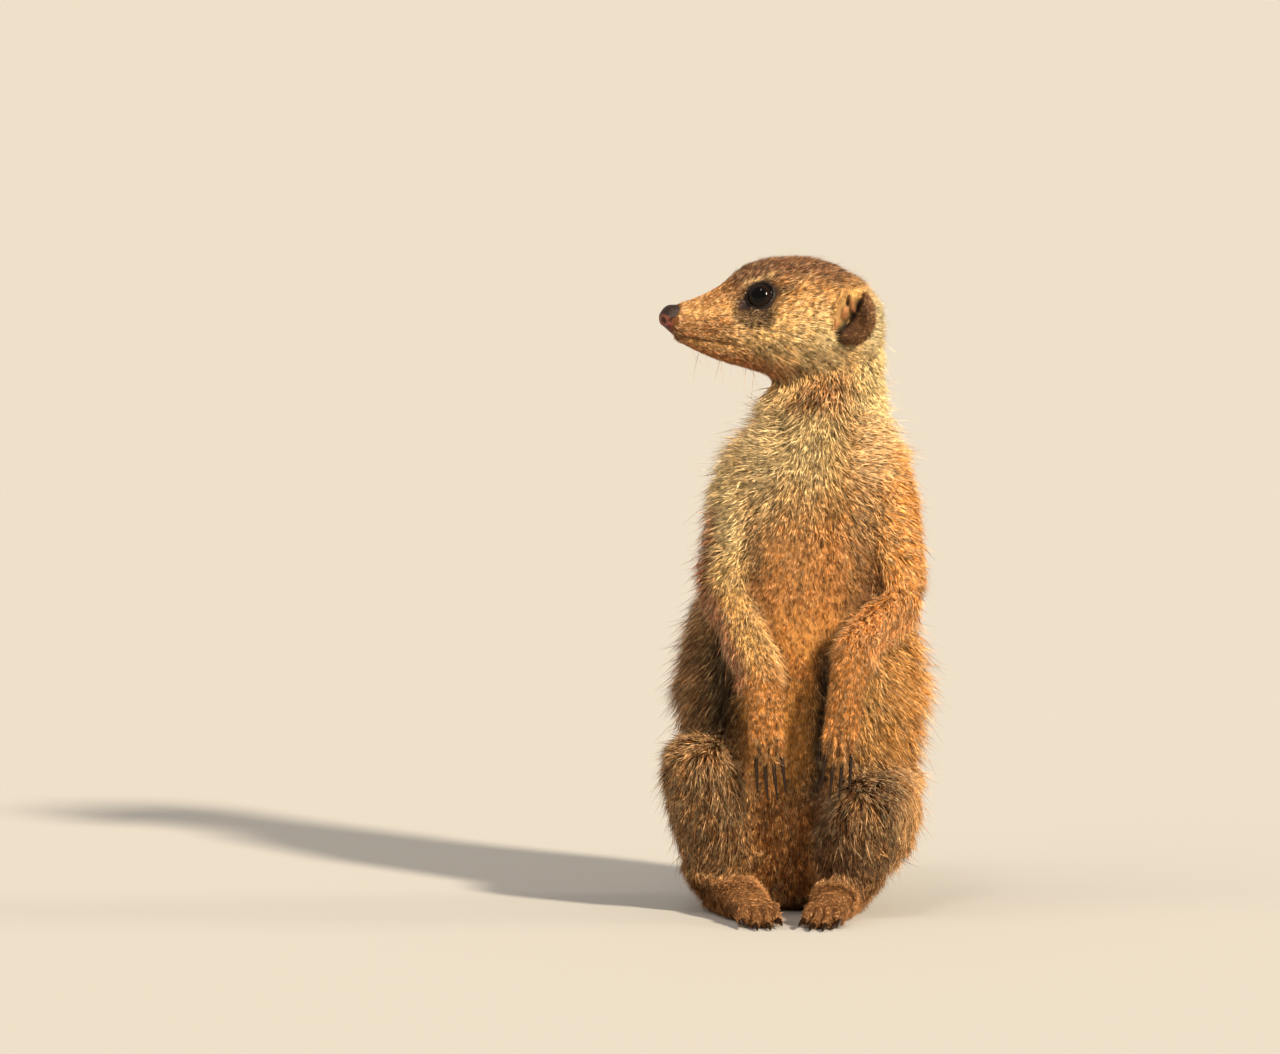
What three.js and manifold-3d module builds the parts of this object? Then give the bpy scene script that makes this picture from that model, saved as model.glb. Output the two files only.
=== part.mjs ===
// A meerkat sitting upright on its haunches with its head turned to its right, life size.
// Millimetres, +Z up. The chest faces -Y and +X is the animal's left. The origin is on the
// flat under the rump. Every size is taken at the tips of the coat, not at the skin.

import * as THREE from "three";
import { mergeVertices } from "three/addons/utils/BufferGeometryUtils.js";
import Module from "manifold-3d";

const wasm = await Module();
wasm.setup();

// ---------------------------------------------------------------- driving dimensions

const CUT = 0.3; // width of the thin cuts that part one piece of the body from the next
const PELVIS_X = -4; // the slumped pelvis sits a little to the right of the chest
const HEAD_PIVOT = [13, 2, 212]; // between the ears, at the level of the nose
const HEAD_TURN = 76; // degrees from straight ahead towards the animal's right
const HEAD_LENGTH = 79.5; // nape to the front of the nose
const NOSE_REACH = 67; // from the pivot to the front of the nose
const EYE_RADIUS = 5.8;
const DIGITS = 4; // toes on each paw
const CLAW_GAP = 0.5; // from the end of a digit to the root of its claw
// A claw's lift tips it away from the palm or sole, and rise sets its root that far off the
// digit's middle line: the foot's claws clear the floor.
const HAND_CLAW = { length: 13, root: 1.25, lift: 0, rise: 0 };
const FOOT_CLAW = { length: 7.5, root: 1.35, lift: 0.33, rise: 0.95 };

const COAT = {
  buff: 0xc99a5b,
  gold: 0xd08a3c,
  cream: 0xd9bd86,
  brown: 0x4a3424,
  horn: 0x2a211c,
  eye: 0x120c09,
};

// ---------------------------------------------------------------- solids and cuts

// A closed geometry as a solid that can be joined and cut.
function solidOf(geometry) {
  const bare = geometry.clone();
  bare.deleteAttribute("normal");
  bare.deleteAttribute("uv");
  const merged = mergeVertices(bare, 1e-4);
  return new wasm.Manifold(
    new wasm.Mesh({
      numProp: 3,
      vertProperties: merged.attributes.position.array,
      triVerts: new Uint32Array(merged.index.array),
    }),
  );
}

function geometryOf(solid) {
  const { vertProperties, triVerts } = solid.getMesh();
  const geometry = new THREE.BufferGeometry();
  geometry.setAttribute("position", new THREE.BufferAttribute(vertProperties, 3));
  geometry.setIndex(new THREE.BufferAttribute(triVerts, 1));
  geometry.computeVertexNormals();
  return geometry;
}

// The biggest body of a solid, without the crumbs that a cut can leave.
function mainBody(solid) {
  return solid.decompose().sort((a, b) => b.volume() - a.volume())[0];
}

const without = (solid, cutters) =>
  mainBody(cutters.reduce((left, cutter) => left.subtract(cutter), solid));

const joined = (solids) => solids.reduce((all, one) => all.add(one));

// All the space beyond a flat cut through a point, as a block.
function beyond(point, normal, gap) {
  const block = new THREE.BoxGeometry(700, 700, 400);
  block.translate(0, 0, 200 + gap);
  const up = new THREE.Vector3(0, 0, 1);
  block.applyQuaternion(new THREE.Quaternion().setFromUnitVectors(up, normal));
  block.translate(...point);
  return solidOf(block);
}

// The two pieces that a thin flat cut makes: the one behind it and the one beyond it.
const parted = (solid, point, normal) => [
  mainBody(solid.subtract(beyond(point, normal, 0))),
  mainBody(solid.intersect(beyond(point, normal, CUT))),
];

// ---------------------------------------------------------------- swept flesh

// A station of a limb or of the trunk: where its middle is, its half-width, its two
// half-depths, and how much it narrows towards the second, like an egg.
const station = (at, side, fore, aft = fore, egg = 0) => ({ at, side, fore, aft, egg });

const smoothLine = (points) =>
  new THREE.CatmullRomCurve3(points, false, "centripetal");

// The closed form that runs through the stations. "across" is the way its width lies, "caps"
// are the lengths of its two rounded ends, and "grow" makes the whole form fatter.
function sweep(stations, { sides, steps, across = [1, 0, 0], caps, grow = 0 }) {
  const line = smoothLine(stations.map((s) => new THREE.Vector3(...s.at)));
  const sizes = smoothLine(stations.map((s) => new THREE.Vector3(s.side, s.fore, s.aft)));
  const eggs = smoothLine(stations.map((s, i) => new THREE.Vector3(s.egg, i, 0)));
  const spans = (stations.length - 1) * steps;
  const capRings = Math.max(1, Math.round(sides / 6.5));
  const points = [];

  const frameAt = (u) => {
    const along = line.getTangent(u);
    const side = new THREE.Vector3(...across).addScaledVector(
      along,
      -along.dot(new THREE.Vector3(...across)),
    );
    side.normalize();
    return { along, side, front: new THREE.Vector3().crossVectors(side, along) };
  };

  const addRing = (u, shift, share) => {
    const { along, side, front } = frameAt(u);
    const size = sizes.getPoint(u);
    const egg = eggs.getPoint(u).x;
    const centre = line.getPoint(u).addScaledVector(along, shift);
    for (let i = 0; i < sides; i++) {
      const angle = (2 * Math.PI * i) / sides;
      const [c, s] = [Math.cos(angle), Math.sin(angle)];
      const narrow = s < 0 ? 1 - egg * s * s : 1;
      const depth = (s > 0 ? size.y : size.z) + grow;
      points.push(
        centre
          .clone()
          .addScaledVector(side, share * (size.x + grow) * c * narrow)
          .addScaledVector(front, share * depth * s),
      );
    }
  };

  const pole = (u, shift) => {
    const { along } = frameAt(u);
    points.push(line.getPoint(u).addScaledVector(along, shift));
  };

  const [startCap, endCap] = caps.map((length) => length + grow);
  pole(0, -startCap);
  for (let k = 1; k < capRings; k++) {
    const lean = (k / capRings) * (Math.PI / 2);
    addRing(0, -startCap * Math.cos(lean), Math.sin(lean));
  }
  for (let i = 0; i <= spans; i++) addRing(i / spans, 0, 1);
  for (let k = capRings - 1; k > 0; k--) {
    const lean = (k / capRings) * (Math.PI / 2);
    addRing(1, endCap * Math.cos(lean), Math.sin(lean));
  }
  pole(1, endCap);

  const rings = (points.length - 2) / sides;
  const last = points.length - 1;
  const index = [];
  for (let i = 0; i < sides; i++) {
    const next = (i + 1) % sides;
    index.push(0, 1 + i, 1 + next);
    for (let ring = 0; ring < rings - 1; ring++) {
      const a = 1 + ring * sides;
      const b = a + sides;
      index.push(a + i, b + next, a + next, a + i, b + i, b + next);
    }
    const top = 1 + (rings - 1) * sides;
    index.push(last, top + next, top + i);
  }
  const geometry = new THREE.BufferGeometry().setFromPoints(points);
  geometry.setIndex(index);
  return geometry;
}

// Both the true form and the slightly fatter one that cuts its neighbours clear of it.
function flesh(stations, shape) {
  return {
    true: solidOf(sweep(stations, shape)),
    fat: solidOf(sweep(stations, { ...shape, grow: CUT })),
  };
}

// ---------------------------------------------------------------- scene graph

const meerkat = new THREE.Group();
const materials = Object.fromEntries(
  Object.entries(COAT).map(([name, color]) => {
    const shiny = name === "eye" || name === "horn";
    const roughness = shiny ? 0.25 : 0.9;
    return [name, new THREE.MeshStandardMaterial({ color, roughness, metalness: 0 })];
  }),
);

// Adds a piece whose node turns and moves about its own joint.
function addPiece(name, solid, coat, joint = [0, 0, 0], parent = meerkat) {
  const geometry = geometryOf(solid);
  geometry.translate(-joint[0], -joint[1], -joint[2]);
  const mesh = new THREE.Mesh(geometry, materials[coat]);
  mesh.name = name;
  mesh.position.set(...joint);
  parent.add(mesh);
}

const floorBlock = new THREE.BoxGeometry(700, 700, 100);
floorBlock.translate(0, 0, -50);
const floor = solidOf(floorBlock);

// ---------------------------------------------------------------- trunk and neck

const COLLAR = [7, 1, 183];
const torsoStations = [
  station([PELVIS_X + 1, 7, 10], 28, 27, 32), // rump
  station([PELVIS_X, 8, 30], 35, 36, 38), // hips
  station([PELVIS_X, 7, 55], 41, 41, 38), // loin
  station([PELVIS_X, 6, 80], 45, 40, 38), // belly
  station([PELVIS_X + 1, 3, 103], 40.5, 36, 36), // last ribs
  station([-1, -1, 126], 34, 30, 34), // ribs
  station([1, -3, 148], 31.5, 26.5, 31), // chest
  station([3, -1, 166], 30.5, 25.5, 27), // shoulders
  station([4.2, 0.5, 180], 25.8, 22.5, 23), // collar
  station([7.4, 1.5, 191], 20.2, 20, 20.2), // neck
  station([8.8, 2, 203], 18, 18.5, 18.6), // nape
  station([10.5, 2, 214], 16, 17, 17), // inside the back of the head
];
const torso = flesh(torsoStations, { sides: 18, steps: 1, caps: [12.5, 4] });
const collarFace = new THREE.Vector3(0.1, 0.1, 1).normalize();
const [trunkWhole, neckWhole] = parted(torso.true, COLLAR, collarFace);

// ---------------------------------------------------------------- head

// The head has a frame of its own: +X to the nose, +Y to its left, +Z to its crown.
const head = new THREE.Group();
head.position.set(...HEAD_PIVOT);
head.rotation.z = THREE.MathUtils.degToRad(-90 - HEAD_TURN);
meerkat.add(head);
head.updateMatrixWorld(true);

const nape = NOSE_REACH - HEAD_LENGTH;
const skullStations = [
  station([nape + 2.5, 0, 1], 13, 13, 7.5, 0.05),
  station([-5, 0, 1], 20.5, 19.5, 14, 0.1),
  station([4, 0, 0.5], 24, 22, 20.2, 0.14),
  station([14, 0, 0], 24.5, 23.3, 23.2, 0.18),
  station([24, 0, -0.5], 22.5, 22.2, 23.6, 0.2),
  station([32, 0, -1], 18.8, 18.6, 22.3, 0.18),
  station([39, 0, -1.5], 14.6, 15.4, 19.3, 0.16),
  station([46, 0, -1.5], 11.4, 13, 14.2, 0.14),
  station([53, 0, -1], 9.3, 10.7, 10.2, 0.12),
  station([60.5, 0, 0], 7.2, 8, 6.6, 0.1),
];
const skullShape = { sides: 18, steps: 2, across: [0, 1, 0], caps: [2.5, 3] };
const skull = flesh(skullStations, skullShape);

// An ellipsoid in the head's frame, turned about Z and then leaned about Y, in degrees.
function ellipsoid(halfSizes, at, { turn = 0, lean = 0, grow = 0, detail = 12 } = {}) {
  const ball = new THREE.SphereGeometry(1, detail, Math.round(detail * 0.7));
  ball.rotateX(Math.PI / 2);
  ball.scale(...halfSizes.map((size) => size + grow));
  ball.rotateY(THREE.MathUtils.degToRad(lean));
  ball.rotateZ(THREE.MathUtils.degToRad(turn));
  ball.translate(...at);
  return solidOf(ball);
}

// The mouth line runs from under the nose back to its corner below the eye.
const MOUTH = { front: [68, -4.6], corner: [37, -9.4], depth: 24, slant: 14 };
function mouthBlock(grow) {
  const outline = new THREE.Shape();
  outline.moveTo(MOUTH.corner[0] - grow, MOUTH.corner[1] + grow);
  outline.lineTo(MOUTH.front[0], MOUTH.front[1] + grow);
  outline.lineTo(MOUTH.front[0], MOUTH.corner[1] - MOUTH.depth);
  outline.lineTo(MOUTH.corner[0] - MOUTH.slant - grow, MOUTH.corner[1] - MOUTH.depth);
  const block = new THREE.ExtrudeGeometry(outline, { depth: 60, bevelEnabled: false });
  block.rotateX(Math.PI / 2);
  block.translate(0, 30, 0);
  return solidOf(block);
}

const nosePad = { sizes: [4.8, 5.4, 4.8], at: [NOSE_REACH - 4.8, 0, 0.8] };
const nose = ellipsoid(nosePad.sizes, nosePad.at);
const noseClear = ellipsoid(nosePad.sizes, nosePad.at, { grow: CUT });

const jaw = without(skull.true.intersect(mouthBlock(0)), [noseClear]);
addPiece("nose", nose, "brown", nosePad.at, head);
addPiece("jaw", jaw, "cream", [MOUTH.corner[0], 0, MOUTH.corner[1]], head);

const EYE = { at: [31.7, 10.9, 8.5], sizes: [EYE_RADIUS, EYE_RADIUS, EYE_RADIUS] };
const EAR = {
  at: [1.2, 24.2, 0.9],
  shell: [8.2, 3.8, 8.9],
  bowl: [5.6, 3.4, 6.5],
  bowlOut: 2.8,
  turn: -18, // degrees that the opening looks forward of straight out
  lean: -12, // degrees that the top leans back
};
const headCuts = [mouthBlock(CUT), noseClear];

for (const [name, way] of [["left", 1], ["right", -1]]) {
  const eyeAt = [EYE.at[0], way * EYE.at[1], EYE.at[2]];
  addPiece(`eye_${name}`, ellipsoid(EYE.sizes, eyeAt), "eye", eyeAt, head);
  headCuts.push(ellipsoid(EYE.sizes, eyeAt, { grow: CUT }));

  const pose = { turn: way * EAR.turn, lean: EAR.lean };
  const earAt = [EAR.at[0], way * EAR.at[1], EAR.at[2]];
  const shell = ellipsoid(EAR.shell, earAt, pose);
  const outward = THREE.MathUtils.degToRad(90 + EAR.turn);
  const bowlAt = [
    earAt[0] + EAR.bowlOut * Math.cos(outward),
    earAt[1] + way * EAR.bowlOut * Math.sin(outward),
    earAt[2],
  ];
  const bowl = ellipsoid(EAR.bowl, bowlAt, { ...pose, detail: 10 });
  addPiece(`ear_${name}`, without(shell, [bowl, skull.fat]), "brown", earAt, head);
}
addPiece("head", without(skull.true, headCuts), "gold", [0, 0, 0], head);

// The skull in the body's frame, to cut the neck clear of it.
const skullInPlace = solidOf(
  sweep(skullStations, { ...skullShape, grow: CUT }).applyMatrix4(head.matrixWorld),
);

// ---------------------------------------------------------------- limbs

// One claw in its own frame: it grows along +Z from its root and curves towards +Y.
function clawGeometry({ length, root }) {
  const tip = 0.3;
  const bend = 0.16 * length;
  const stations = [0, 0.45, 0.8, 1].map((share) => {
    const radius = THREE.MathUtils.lerp(root, tip, share ** 1.3);
    return station([0, bend * share * share, length * share], 0.75 * radius, radius);
  });
  return sweep(stations, { sides: 5, steps: 1, caps: [0.2, 0.4] });
}

// The digits of a paw, side by side and slightly fanned, the middle ones the longest. Each
// is arched away from the palm, and keeps where it ends and which way it points.
function digits({ root, along, across, palm, length, radius, pitch, fan }) {
  const made = [];
  for (let i = 0; i < DIGITS; i++) {
    const share = i - (DIGITS - 1) / 2;
    const middle = 1 - 0.12 * share * share;
    const way = along.clone().addScaledVector(across, fan * share).normalize();
    const start = root.clone().addScaledVector(across, pitch * share);
    start.addScaledVector(along, -radius);
    const end = start.clone().addScaledVector(way, length * middle);
    const half = start.clone().lerp(end, 0.5).addScaledVector(palm, -0.12 * length);
    const stations = [
      station(start.toArray(), radius * 1.1, radius * 1.2),
      station(half.toArray(), radius * 1.05, radius * 1.15),
      station(end.toArray(), radius * 0.85, radius * 0.85),
    ];
    const shape = { sides: 6, steps: 1, across: across.toArray(), caps: [1, radius * 0.7] };
    made.push({ solid: solidOf(sweep(stations, shape)), end, way, reach: radius * 0.7 });
  }
  return made;
}

// One claw to each digit, curved towards the palm or sole.
function addClaws(limb, paw, made, palm, claw) {
  const geometry = clawGeometry(claw);
  made.forEach(({ end, way, reach }, i) => {
    const mesh = new THREE.Mesh(geometry, materials.horn);
    const aim = way.clone().addScaledVector(palm, -claw.lift).normalize();
    const side = new THREE.Vector3().crossVectors(palm, aim).normalize();
    const under = new THREE.Vector3().crossVectors(aim, side);
    mesh.name = `${paw}_claw_${limb}_${i + 1}`;
    mesh.position.copy(end).addScaledVector(way, reach + CLAW_GAP);
    mesh.position.addScaledVector(palm, -claw.rise);
    mesh.quaternion.setFromRotationMatrix(new THREE.Matrix4().makeBasis(side, under, aim));
    meerkat.add(mesh);
  });
}

// The forelimbs hang from the shoulders with the paws before the belly.
const arms = {
  right: {
    shoulder: [-17.5, -5, 162],
    elbow: [-28, -22, 115],
    wrist: [-13, -40, 87],
    knuckles: [-11, -44.5, 67],
    fingerEnd: [-10, -46, 56.5],
  },
  left: {
    shoulder: [24, -4, 162],
    elbow: [35.5, -16, 113],
    wrist: [19.5, -42, 97],
    knuckles: [15.5, -47, 68.5],
    fingerEnd: [14.5, -48.5, 57.5],
  },
};

// A point between two others, pushed aside by an offset.
const between = (a, b, share, offset = [0, 0, 0]) =>
  a.map((value, i) => THREE.MathUtils.lerp(value, b[i], share) + offset[i]);

const toVector = (values) => new THREE.Vector3(...values);

// The way a limb runs through a joint, halfway between the way it comes and the way it goes.
function runThrough(before, joint, after) {
  const come = toVector(joint).sub(toVector(before)).normalize();
  const go = toVector(after).sub(toVector(joint)).normalize();
  return come.add(go).normalize();
}

function makeArm({ shoulder, elbow, wrist, knuckles, fingerEnd }) {
  const whole = flesh(
    [
      station(shoulder, 11.5, 12.5, 11.5),
      station(between(shoulder, elbow, 0.3), 12.8, 13.5, 13),
      station(between(shoulder, elbow, 0.65), 11, 12, 11.5),
      station(between(shoulder, elbow, 0.9), 10.2, 10.8, 10.8),
      station(between(elbow, wrist, 0.1), 9.6, 9.8, 9.8),
      station(between(elbow, wrist, 0.45), 8.8, 8.8, 8.6),
      station(between(elbow, wrist, 0.85), 7.5, 7.3, 7),
      station(between(wrist, knuckles, 0.25), 6.9, 6.5, 6),
      station(between(wrist, knuckles, 0.65, [0, -0.6, 0]), 6.5, 5.3, 4.8),
      station(knuckles, 6.3, 3.8, 3.5),
    ],
    { sides: 12, steps: 1, caps: [10, 3] },
  );
  const [upper, rest] = parted(whole.true, elbow, runThrough(shoulder, elbow, wrist));
  const [fore, palmForm] = parted(rest, wrist, runThrough(elbow, wrist, knuckles));
  const palm = new THREE.Vector3(0, 1, 0);
  const made = digits({
    root: toVector(knuckles),
    along: toVector(fingerEnd).sub(toVector(knuckles)).normalize(),
    across: new THREE.Vector3(1, 0, 0),
    palm,
    length: toVector(fingerEnd).distanceTo(toVector(knuckles)),
    radius: 2.1,
    pitch: 2.85,
    fan: 0.02,
  });
  return { whole, upper, fore, palmForm, made, palm };
}

// The hind legs are folded, with the knees up and out and the soles flat on the ground.
const legs = {
  right: {
    hip: [PELVIS_X - 27, 16, 38],
    knee: [PELVIS_X - 32, -34, 56],
    heel: [PELVIS_X - 25, -15, 11],
    ball: [PELVIS_X - 10, -51, 5.2],
    toeEnd: [PELVIS_X - 7, -65, 0.5],
  },
  left: {
    hip: [PELVIS_X + 27, 16, 34],
    knee: [PELVIS_X + 28, -35, 42],
    heel: [PELVIS_X + 18, -16, 11],
    ball: [PELVIS_X + 15, -51, 5.2],
    toeEnd: [PELVIS_X + 13.5, -65, 0.5],
  },
};

function makeLeg({ hip, knee, heel, ball, toeEnd }) {
  const out = Math.sign(hip[0] - PELVIS_X);
  const thighForm = flesh(
    [
      station(hip, 17.5, 26, 25),
      station(between(hip, knee, 0.35, [out * 1.5, 0, 1]), 18, 25, 24),
      station(between(hip, knee, 0.7, [out * 0.5, 0, 1]), 16.5, 20, 18.5),
      station(knee, 13.5, 13, 12.5),
    ],
    { sides: 12, steps: 1, caps: [17, 9] },
  );
  const shankForm = flesh(
    [
      station(knee, 14.5, 14, 13),
      station(between(knee, heel, 0.35, [0, -1, 0]), 16, 13.5, 14),
      station(between(knee, heel, 0.7), 15, 11.5, 12),
      station(heel, 11.5, 8.5, 9),
    ],
    { sides: 12, steps: 1, caps: [12.5, 5] },
  );
  const sole = flesh(
    [
      station(heel, 9.4, 11.3, 8.5),
      station(between(heel, ball, 0.4), 8.2, 8.9, 6.8),
      station(between(heel, ball, 0.8), 7.8, 6.6, 4.8),
      station(ball, 7.4, 5.4, 3.8),
    ],
    { sides: 10, steps: 1, caps: [6, 4] },
  );
  const along = toVector(toeEnd).sub(toVector(ball)).normalize();
  const palm = new THREE.Vector3(0, 0, -1);
  const made = digits({
    root: toVector(ball),
    along,
    across: new THREE.Vector3().crossVectors(along, new THREE.Vector3(0, 0, 1)).normalize(),
    palm,
    length: toVector(toeEnd).distanceTo(toVector(ball)),
    radius: 2.6,
    pitch: 3.5,
    fan: 0.05,
  });
  // The knee is cut along the fold of the leg, and the ankle across the shank.
  const toHip = toVector(hip).sub(toVector(knee)).normalize();
  const toHeel = toVector(heel).sub(toVector(knee)).normalize();
  const fold = toHip.sub(toHeel).normalize();
  const belowFold = shankForm.fat.subtract(beyond(knee, fold, CUT));
  const thigh = without(thighForm.true.add(shankForm.true), [belowFold, sole.fat]);
  const lowerLeg = without(shankForm.true, [beyond(knee, fold, 0)]);
  const ankle = between(heel, knee, 0.2);
  const [stump, shankWhole] = parted(lowerLeg, ankle, toHeel.negate());
  const shank = without(shankWhole, [sole.fat]);
  const foot = joined([sole.true, stump, ...made.map((digit) => digit.solid)]);
  return { thigh, shank, foot, forms: [thighForm.fat, shankForm.fat, sole.fat], made, palm };
}

const limbCutters = [];

for (const side of ["left", "right"]) {
  const arm = makeArm(arms[side]);
  const leg = makeLeg(legs[side]);
  const hand = joined([arm.palmForm, ...arm.made.map((digit) => digit.solid)]);
  addPiece(`upper_arm_${side}`, arm.upper, "gold", arms[side].shoulder);
  addPiece(`forearm_${side}`, arm.fore, "gold", arms[side].elbow);
  addPiece(`hand_${side}`, hand, "gold", arms[side].wrist);
  addPiece(`thigh_${side}`, leg.thigh, "buff", legs[side].hip);
  addPiece(`shank_${side}`, without(leg.shank, [floor]), "buff", legs[side].knee);
  addPiece(`foot_${side}`, without(leg.foot, [floor]), "buff", legs[side].heel);
  addClaws(side, "hand", arm.made, arm.palm, HAND_CLAW);
  addClaws(side, "foot", leg.made, leg.palm, FOOT_CLAW);
  limbCutters.push(arm.whole.fat, ...leg.forms);
}

// ---------------------------------------------------------------- tail

// The tail lies on the ground behind the rump, in a slack curve, and thins to its tip.
const TAIL = { rootRadius: 13, tipRadius: 5.5, sink: 0.5 };
const tailRoute = [
  [PELVIS_X + 1, 30],
  [PELVIS_X, 52],
  [PELVIS_X - 6, 90],
  [PELVIS_X - 14, 130],
  [PELVIS_X - 13, 170],
  [PELVIS_X - 3, 208],
  [PELVIS_X + 8, 232],
];
const tailStations = tailRoute.map(([x, y], i) => {
  const share = i / (tailRoute.length - 1);
  const radius = THREE.MathUtils.lerp(TAIL.rootRadius, TAIL.tipRadius, share ** 0.7);
  return station([x, y, radius - TAIL.sink + (i === 0 ? 4 : 0)], radius, radius);
});
const tailLengths = [
  ["tail_base", 0, 2],
  ["tail_middle", 2, 4],
  ["tail_tip", 4, 6],
];

// The slab of space that holds one length of the tail, between the two cuts that bound it.
function tailSlab(from, to) {
  const start = from === 0 ? -100 : tailRoute[from][1] + CUT;
  const end = to === tailRoute.length - 1 ? 400 : tailRoute[to][1];
  const block = new THREE.BoxGeometry(200, end - start, 100);
  block.translate(0, (start + end) / 2, 50);
  return solidOf(block);
}

const tail = solidOf(sweep(tailStations, { sides: 10, steps: 2, caps: [6, 5] }));
for (const [name, from, to] of tailLengths) {
  const length = without(tail.intersect(tailSlab(from, to)), [torso.fat]);
  addPiece(name, length, "gold", tailStations[from].at);
}

// ---------------------------------------------------------------- trunk and neck, last

addPiece("trunk", without(trunkWhole, [...limbCutters, floor]), "buff");
addPiece("neck", without(neckWhole, [skullInPlace]), "cream", COLLAR);

export default meerkat;
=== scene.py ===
"""A meerkat sitting upright, modelled still and life-size: its hide, eyes, nose, claws, coat and
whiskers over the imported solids, on a pale studio floor."""

import math

import bmesh
import bpy
import numpy as np
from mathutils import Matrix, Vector
from mathutils.bvhtree import BVHTree
from mathutils.kdtree import KDTree


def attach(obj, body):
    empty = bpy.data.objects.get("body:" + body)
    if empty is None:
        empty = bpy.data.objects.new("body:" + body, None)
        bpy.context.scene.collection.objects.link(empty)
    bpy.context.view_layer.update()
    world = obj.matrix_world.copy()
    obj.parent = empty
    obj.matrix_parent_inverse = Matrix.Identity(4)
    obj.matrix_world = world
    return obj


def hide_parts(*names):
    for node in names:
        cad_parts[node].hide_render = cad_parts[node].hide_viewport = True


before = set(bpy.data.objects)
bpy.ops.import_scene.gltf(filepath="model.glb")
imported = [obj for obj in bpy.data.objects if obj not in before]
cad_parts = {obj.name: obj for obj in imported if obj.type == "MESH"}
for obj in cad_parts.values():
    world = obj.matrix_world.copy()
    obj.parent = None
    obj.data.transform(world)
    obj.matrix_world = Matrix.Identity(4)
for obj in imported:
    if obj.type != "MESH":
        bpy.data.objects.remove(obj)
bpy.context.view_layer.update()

MM = 0.001

# ---------------------------------------------------------------- hide
# One hide over the whole animal, bare on the lids and thin on the muzzle, ears and paws. It is
# made from the flesh solids grown together, smoothed at the joints and sunk by the depth of
# the coat that grows on it. Lids, ears, mouth, fingers and toes are then worked into it.

PAIRS = ["ear", "upper_arm", "forearm", "hand", "thigh", "shank", "foot"]
FLESH = ["trunk", "neck", "head", "jaw", "tail_base", "tail_middle", "tail_tip"]
FLESH += [f"{part}_{side}" for part in PAIRS for side in ("left", "right")]
SKIN_VOXEL = 1.56 * MM
JOINT_GROWTH = 0.35 * MM  # closes the clearances between the solids


def deselect():
    if bpy.context.mode != "OBJECT":
        bpy.ops.object.mode_set(mode="OBJECT")
    bpy.ops.object.select_all(action="DESELECT")


def pick(obj):
    deselect()
    obj.select_set(True)
    bpy.context.view_layer.objects.active = obj


def apply_modifier(obj, kind, **settings):
    pick(obj)
    modifier = obj.modifiers.new(kind.lower(), kind)
    for key, value in settings.items():
        setattr(modifier, key, value)
    bpy.ops.object.modifier_apply(modifier=modifier.name)


def copies_of(nodes, name):
    """The nodes' meshes joined in one new object, with the loose triangles merged."""
    copies = []
    for node in nodes:
        copy = bpy.data.objects.new(name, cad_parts[node].data.copy())
        copy.data.materials.clear()
        bpy.context.scene.collection.objects.link(copy)
        copies.append(copy)
    deselect()
    for copy in copies:
        copy.select_set(True)
    bpy.context.view_layer.objects.active = copies[0]
    if len(copies) > 1:
        bpy.ops.object.join()
    joined = bpy.context.view_layer.objects.active
    joined.name = joined.data.name = name
    bpy.ops.object.mode_set(mode="EDIT")
    bpy.ops.mesh.select_all(action="SELECT")
    bpy.ops.mesh.remove_doubles(threshold=0.01 * MM)
    bpy.ops.mesh.customdata_custom_splitnormals_clear()
    bpy.ops.object.mode_set(mode="OBJECT")
    return joined


def numbers_of(items, key, wide, kind):
    """A table of numbers read from a mesh's points, edges or triangles."""
    flat = np.empty(len(items) * wide, kind)
    items.foreach_get(key, flat)
    return flat.reshape(-1, wide)


def points_of(mesh):
    return numbers_of(mesh.vertices, "co", 3, np.float32).astype(float)


def triangles_of(mesh):
    mesh.calc_loop_triangles()
    return numbers_of(mesh.loop_triangles, "vertices", 3, np.int32)


def edges_of(mesh):
    return numbers_of(mesh.edges, "vertices", 2, np.int32)


def spread(values, edges, rounds, share=0.5):
    """Values on a mesh's points, each drawn to the mean of its neighbours."""
    values = np.array(values, float)
    flat = values.reshape(len(values), -1)
    ends = np.concatenate([edges[:, 0], edges[:, 1]])
    others = np.concatenate([edges[:, 1], edges[:, 0]])
    count = np.maximum(np.bincount(ends, minlength=len(flat)), 1)[:, None]
    share = np.asarray(share, float).reshape(-1, 1)
    for _ in range(rounds):
        total = [np.bincount(ends, weights=column[others], minlength=len(flat)) for column in flat.T]
        flat = flat + share * (np.stack(total, 1) / count - flat)
    return flat.reshape(values.shape)


def unit(vectors):
    return vectors / np.maximum(np.linalg.norm(vectors, axis=-1, keepdims=True), 1e-12)


def normals_of(points, triangles):
    a, b, c = (points[triangles[:, i]] for i in range(3))
    face = np.cross(b - a, c - a)
    total = np.zeros_like(points)
    for i in range(3):
        for axis in range(3):
            total[:, axis] += np.bincount(triangles[:, i], face[:, axis], len(points))
    return unit(total)


def ramp(low, high, values):
    share = np.clip((values - low) / (high - low), 0, 1)
    return share * share * (3 - 2 * share)


def bell(values, width):
    return np.exp(-((values / width) ** 2))


skin = copies_of(FLESH + ["nose", "eye_left", "eye_right"], "skin")
apply_modifier(skin, "DISPLACE", strength=JOINT_GROWTH, mid_level=0)
apply_modifier(skin, "REMESH", mode="VOXEL", voxel_size=SKIN_VOXEL, adaptivity=0)
pick(skin)
bpy.ops.object.mode_set(mode="EDIT")
bpy.ops.mesh.select_all(action="SELECT")
bpy.ops.mesh.separate(type="LOOSE")
bpy.ops.object.mode_set(mode="OBJECT")
shells = sorted(bpy.context.selected_objects, key=lambda o: len(o.data.vertices))
skin = shells.pop()
for shell in shells:
    bpy.data.objects.remove(shell)
skin.name = skin.data.name = "skin"

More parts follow.
